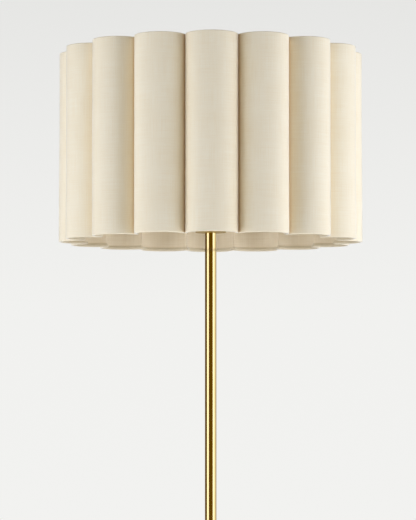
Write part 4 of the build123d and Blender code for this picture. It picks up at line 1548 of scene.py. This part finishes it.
@dataclass
class Studio:
    """The pale room: background, floor, lights and camera, in metres.

    Attributes:
        camera_place: Where the camera stands.
        camera_rise: How far its axis rises above the level, in degrees.
        camera_turn: How far it is turned to the right, in degrees.
        lens: Its focal length for a 36 mm film, from 2240 px on the picture's 520 px.
        boxes: The softboxes at the sides.
        top_radiance: Brightness of the light overhead.
        under_radiance: Brightness of the light under the floor, which reaches only the base's felt.
        floor_radius: Radius of the floor.
        floor_rings: How many rings of points it has, closer together near the lamp.
        floor_lap: How far the floor reaches under the felt, in millimetres.
        blend: From and to which distance the floor runs on into the background.
        blend_least: Share of the background's tone under the lamp.
        fade: Shares of the floor's radius between which it fades out.
    """

    camera_place: tuple[float, float, float] = (-0.028, -3.677, 0.991)
    camera_rise: float = 3.53
    camera_turn: float = 0.367
    lens: float = 36 * 2240 / 520
    boxes: tuple[Softbox, ...] = (
        Softbox("softbox_left", -40.0, -78.0, 1.55),
        Softbox("softbox_right", 41.0, 78.0, 1.55),
        Softbox("softbox_far_right", 78.0, 108.0, 0.85),
        Softbox("softbox_rear_right", 108.0, 156.0, 0.4),
        Softbox("fill_left", -36.0, -100.0, 1.3, mirrored=False, middle=0.75, height=1.5),
        Softbox("fill_right", 36.0, 100.0, 1.2, mirrored=False, middle=0.75, height=1.5),
        Softbox("fill_back", 145.0, 215.0, 1.1, mirrored=False),
    )
    top_radiance: float = 1.65
    under_radiance: float = 2.5
    floor_radius: float = 7.0
    floor_rings: int = 24
    floor_lap: float = 3.0
    blend: tuple[float, float] = (0.3, 1.9)
    blend_least: float = 0.55
    fade: tuple[float, float] = (0.6, 0.98)

    def build(self) -> None:
        """Sets up the room."""
        scene = bpy.context.scene
        scene.view_settings.view_transform = "Standard"
        self.make_camera(scene)
        self.make_world(scene)
        for box in self.boxes:
            box.build()
        self.disc_light("top_light", 3.8, 2.6, self.top_radiance)
        self.disc_light("under_light", -1.0, 1.2, self.under_radiance, upward=True)
        self.make_floor()

    def make_camera(self, scene: bpy.types.Scene) -> None:
        """The camera at the photograph's place and angle."""
        data = bpy.data.cameras.new("camera")
        data.lens = self.lens
        data.sensor_width = 36
        data.clip_end = 60
        camera = bpy.data.objects.new("camera", data)
        camera.location = self.camera_place
        camera.rotation_euler = (math.radians(90 + self.camera_rise), 0, -math.radians(self.camera_turn))
        scene.collection.objects.link(camera)
        scene.camera = camera

    def make_world(self, scene: bpy.types.Scene) -> None:
        """A pale background, an even warm grey that lights the lamp, and what polished metal reflects.

        The camera sees the backdrop, lighter low down. A reflection sees a dark room that turns pale
        behind the lamp, and a pale ceiling and ground.
        """
        world = bpy.data.worlds.new("studio")
        scene.world = world
        world.use_nodes = True
        tree = Tree(world.node_tree)
        tree.tree.nodes.clear()
        way = tree.add("ShaderNodeTexCoord").outputs["Generated"]
        _, back, up = tree.add("ShaderNodeSeparateXYZ", {0: way}).outputs
        backdrop = tree.ramp(up, (-0.06, 0.18), BACKDROP_STOPS)
        behind = tree.ramp(back, (-1.0, 1.0), REFLECTED_STOPS)
        off_level = tree.ramp(tree.maths("ABSOLUTE", up), (0.12, 0.5), CEILING_STOPS)
        path = tree.add("ShaderNodeLightPath").outputs
        seen = tree.maths("MAXIMUM", path["Is Camera Ray"], path["Is Transmission Ray"])
        around = tree.mix(off_level, behind, CEILING)
        lit = tree.mix(path["Is Glossy Ray"], AMBIENT, around)
        shader = tree.add("ShaderNodeBackground", {"Color": tree.mix(seen, lit, backdrop)})
        tree.add("ShaderNodeOutputWorld", {0: shader.outputs[0]})

    @staticmethod
    def disc_light(
        name: str,
        height: float,
        width: float,
        radiance: float,
        upward: bool = False,
    ) -> None:
        """A level round light on the lamp's axis; its power is radiance x pi x area.

        Args:
            name: Its name.
            height: How high it hangs.
            width: Its diameter.
            radiance: Its brightness, where 1 is white.
            upward: Whether it shines up, unseen in polished metal.
        """
        data = bpy.data.lights.new(name, "AREA")
        data.shape = "DISK"
        data.size = width
        data.energy = radiance * math.pi * math.pi * (width / 2) ** 2
        data.color = DAYLIGHT
        light = bpy.data.objects.new(name, data)
        light.location = (0.0, 0.0, height)
        light.rotation_euler = (math.pi if upward else 0.0, 0, 0)
        light.visible_camera = False
        light.visible_glossy = not upward
        bpy.context.scene.collection.objects.link(light)

    def make_floor(self) -> None:
        """A pale round floor that fades out at its edge, open where the base stands on it.

        The opening shows only from below, where it lets the light under the floor reach the felt.
        """
        share = np.linspace(0, 1, self.floor_rings)[:, None] ** 1.5
        angle = -np.arange(96) * 2 * np.pi / 96
        hole = (span("base_pad")[1][0] - self.floor_lap) * MM
        radius = hole + (self.floor_radius - hole) * share
        points = np.stack((radius * np.cos(angle), radius * np.sin(angle), 0 * radius * angle), -1)
        mesh = bpy.data.meshes.new("floor")
        mesh.from_pydata(points.reshape(-1, 3).tolist(), [], Grid(points).faces().tolist())
        mesh.materials.append(self.floor_paint())
        floor = bpy.data.objects.new("floor", mesh)
        bpy.context.scene.collection.objects.link(floor)

    def floor_paint(self) -> bpy.types.Material:
        """Matt pale paint that takes the lamp's shadow and fades out at its edge.

        The camera and polished metal see it mixed with the background's own tone, more and more of that
        away from the lamp, so that the floor runs on into the background. From below it isn't there.
        """
        graph = Graph("floor_paint")
        grain = graph.noise(graph.object_place(), 3.0, 4.0)
        graph.shade(Base_Color=graph.mix(grain, srgb(226, 226, 225), srgb(230, 230, 229)), Roughness=0.9)
        graph.shade(Specular_IOR_Level=0.1)
        away = graph.add("ShaderNodeVectorMath", {0: graph.object_place()}, operation="LENGTH")
        distance = away.outputs["Value"]
        path = graph.add("ShaderNodeLightPath").outputs
        seen = graph.maths("MAXIMUM", path["Is Camera Ray"], path["Is Glossy Ray"])
        seen = graph.maths("MAXIMUM", seen, path["Is Transmission Ray"])
        near = graph.ranged(distance, *self.blend, self.blend_least, 1.0)
        share = graph.maths("MULTIPLY", near, seen)
        glow = graph.add("ShaderNodeEmission", {"Color": BACKDROP, "Strength": 1.0})
        matt = graph.shader.outputs[0]
        paint = graph.add("ShaderNodeMixShader", {0: share, 1: matt, 2: glow.outputs[0]})
        start, end = (self.floor_radius * part for part in self.fade)
        fade = graph.ranged(distance, start, end, 1.0, 0.0)
        under = graph.add("ShaderNodeNewGeometry").outputs["Backfacing"]
        unseen = graph.maths("MULTIPLY", under, path["Is Camera Ray"])
        kept = graph.maths("MULTIPLY", fade, graph.maths("SUBTRACT", 1.0, unseen))
        clear = graph.add("ShaderNodeBsdfTransparent")
        shown = graph.add("ShaderNodeMixShader", {0: kept, 1: clear.outputs[0], 2: paint.outputs[0]})
        graph.feed(graph.tree.nodes["Material Output"].inputs["Surface"], shown.outputs[0])
        return graph.material


def main() -> None:
    """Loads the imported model, dresses it and sets up the room."""
    logging.basicConfig(level=logging.INFO, format="%(message)s")
    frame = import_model()
    dress_nodes(frame["nodes"])
    Studio().build()
    for part in (Shade(), HarpStud(), Finial(), Socket(), Bulb(), Base()):
        part.build()
        LOG.info("%s is done", type(part).__name__)
    bpy.context.view_layer.update()


if __name__ == "__main__":
    main()
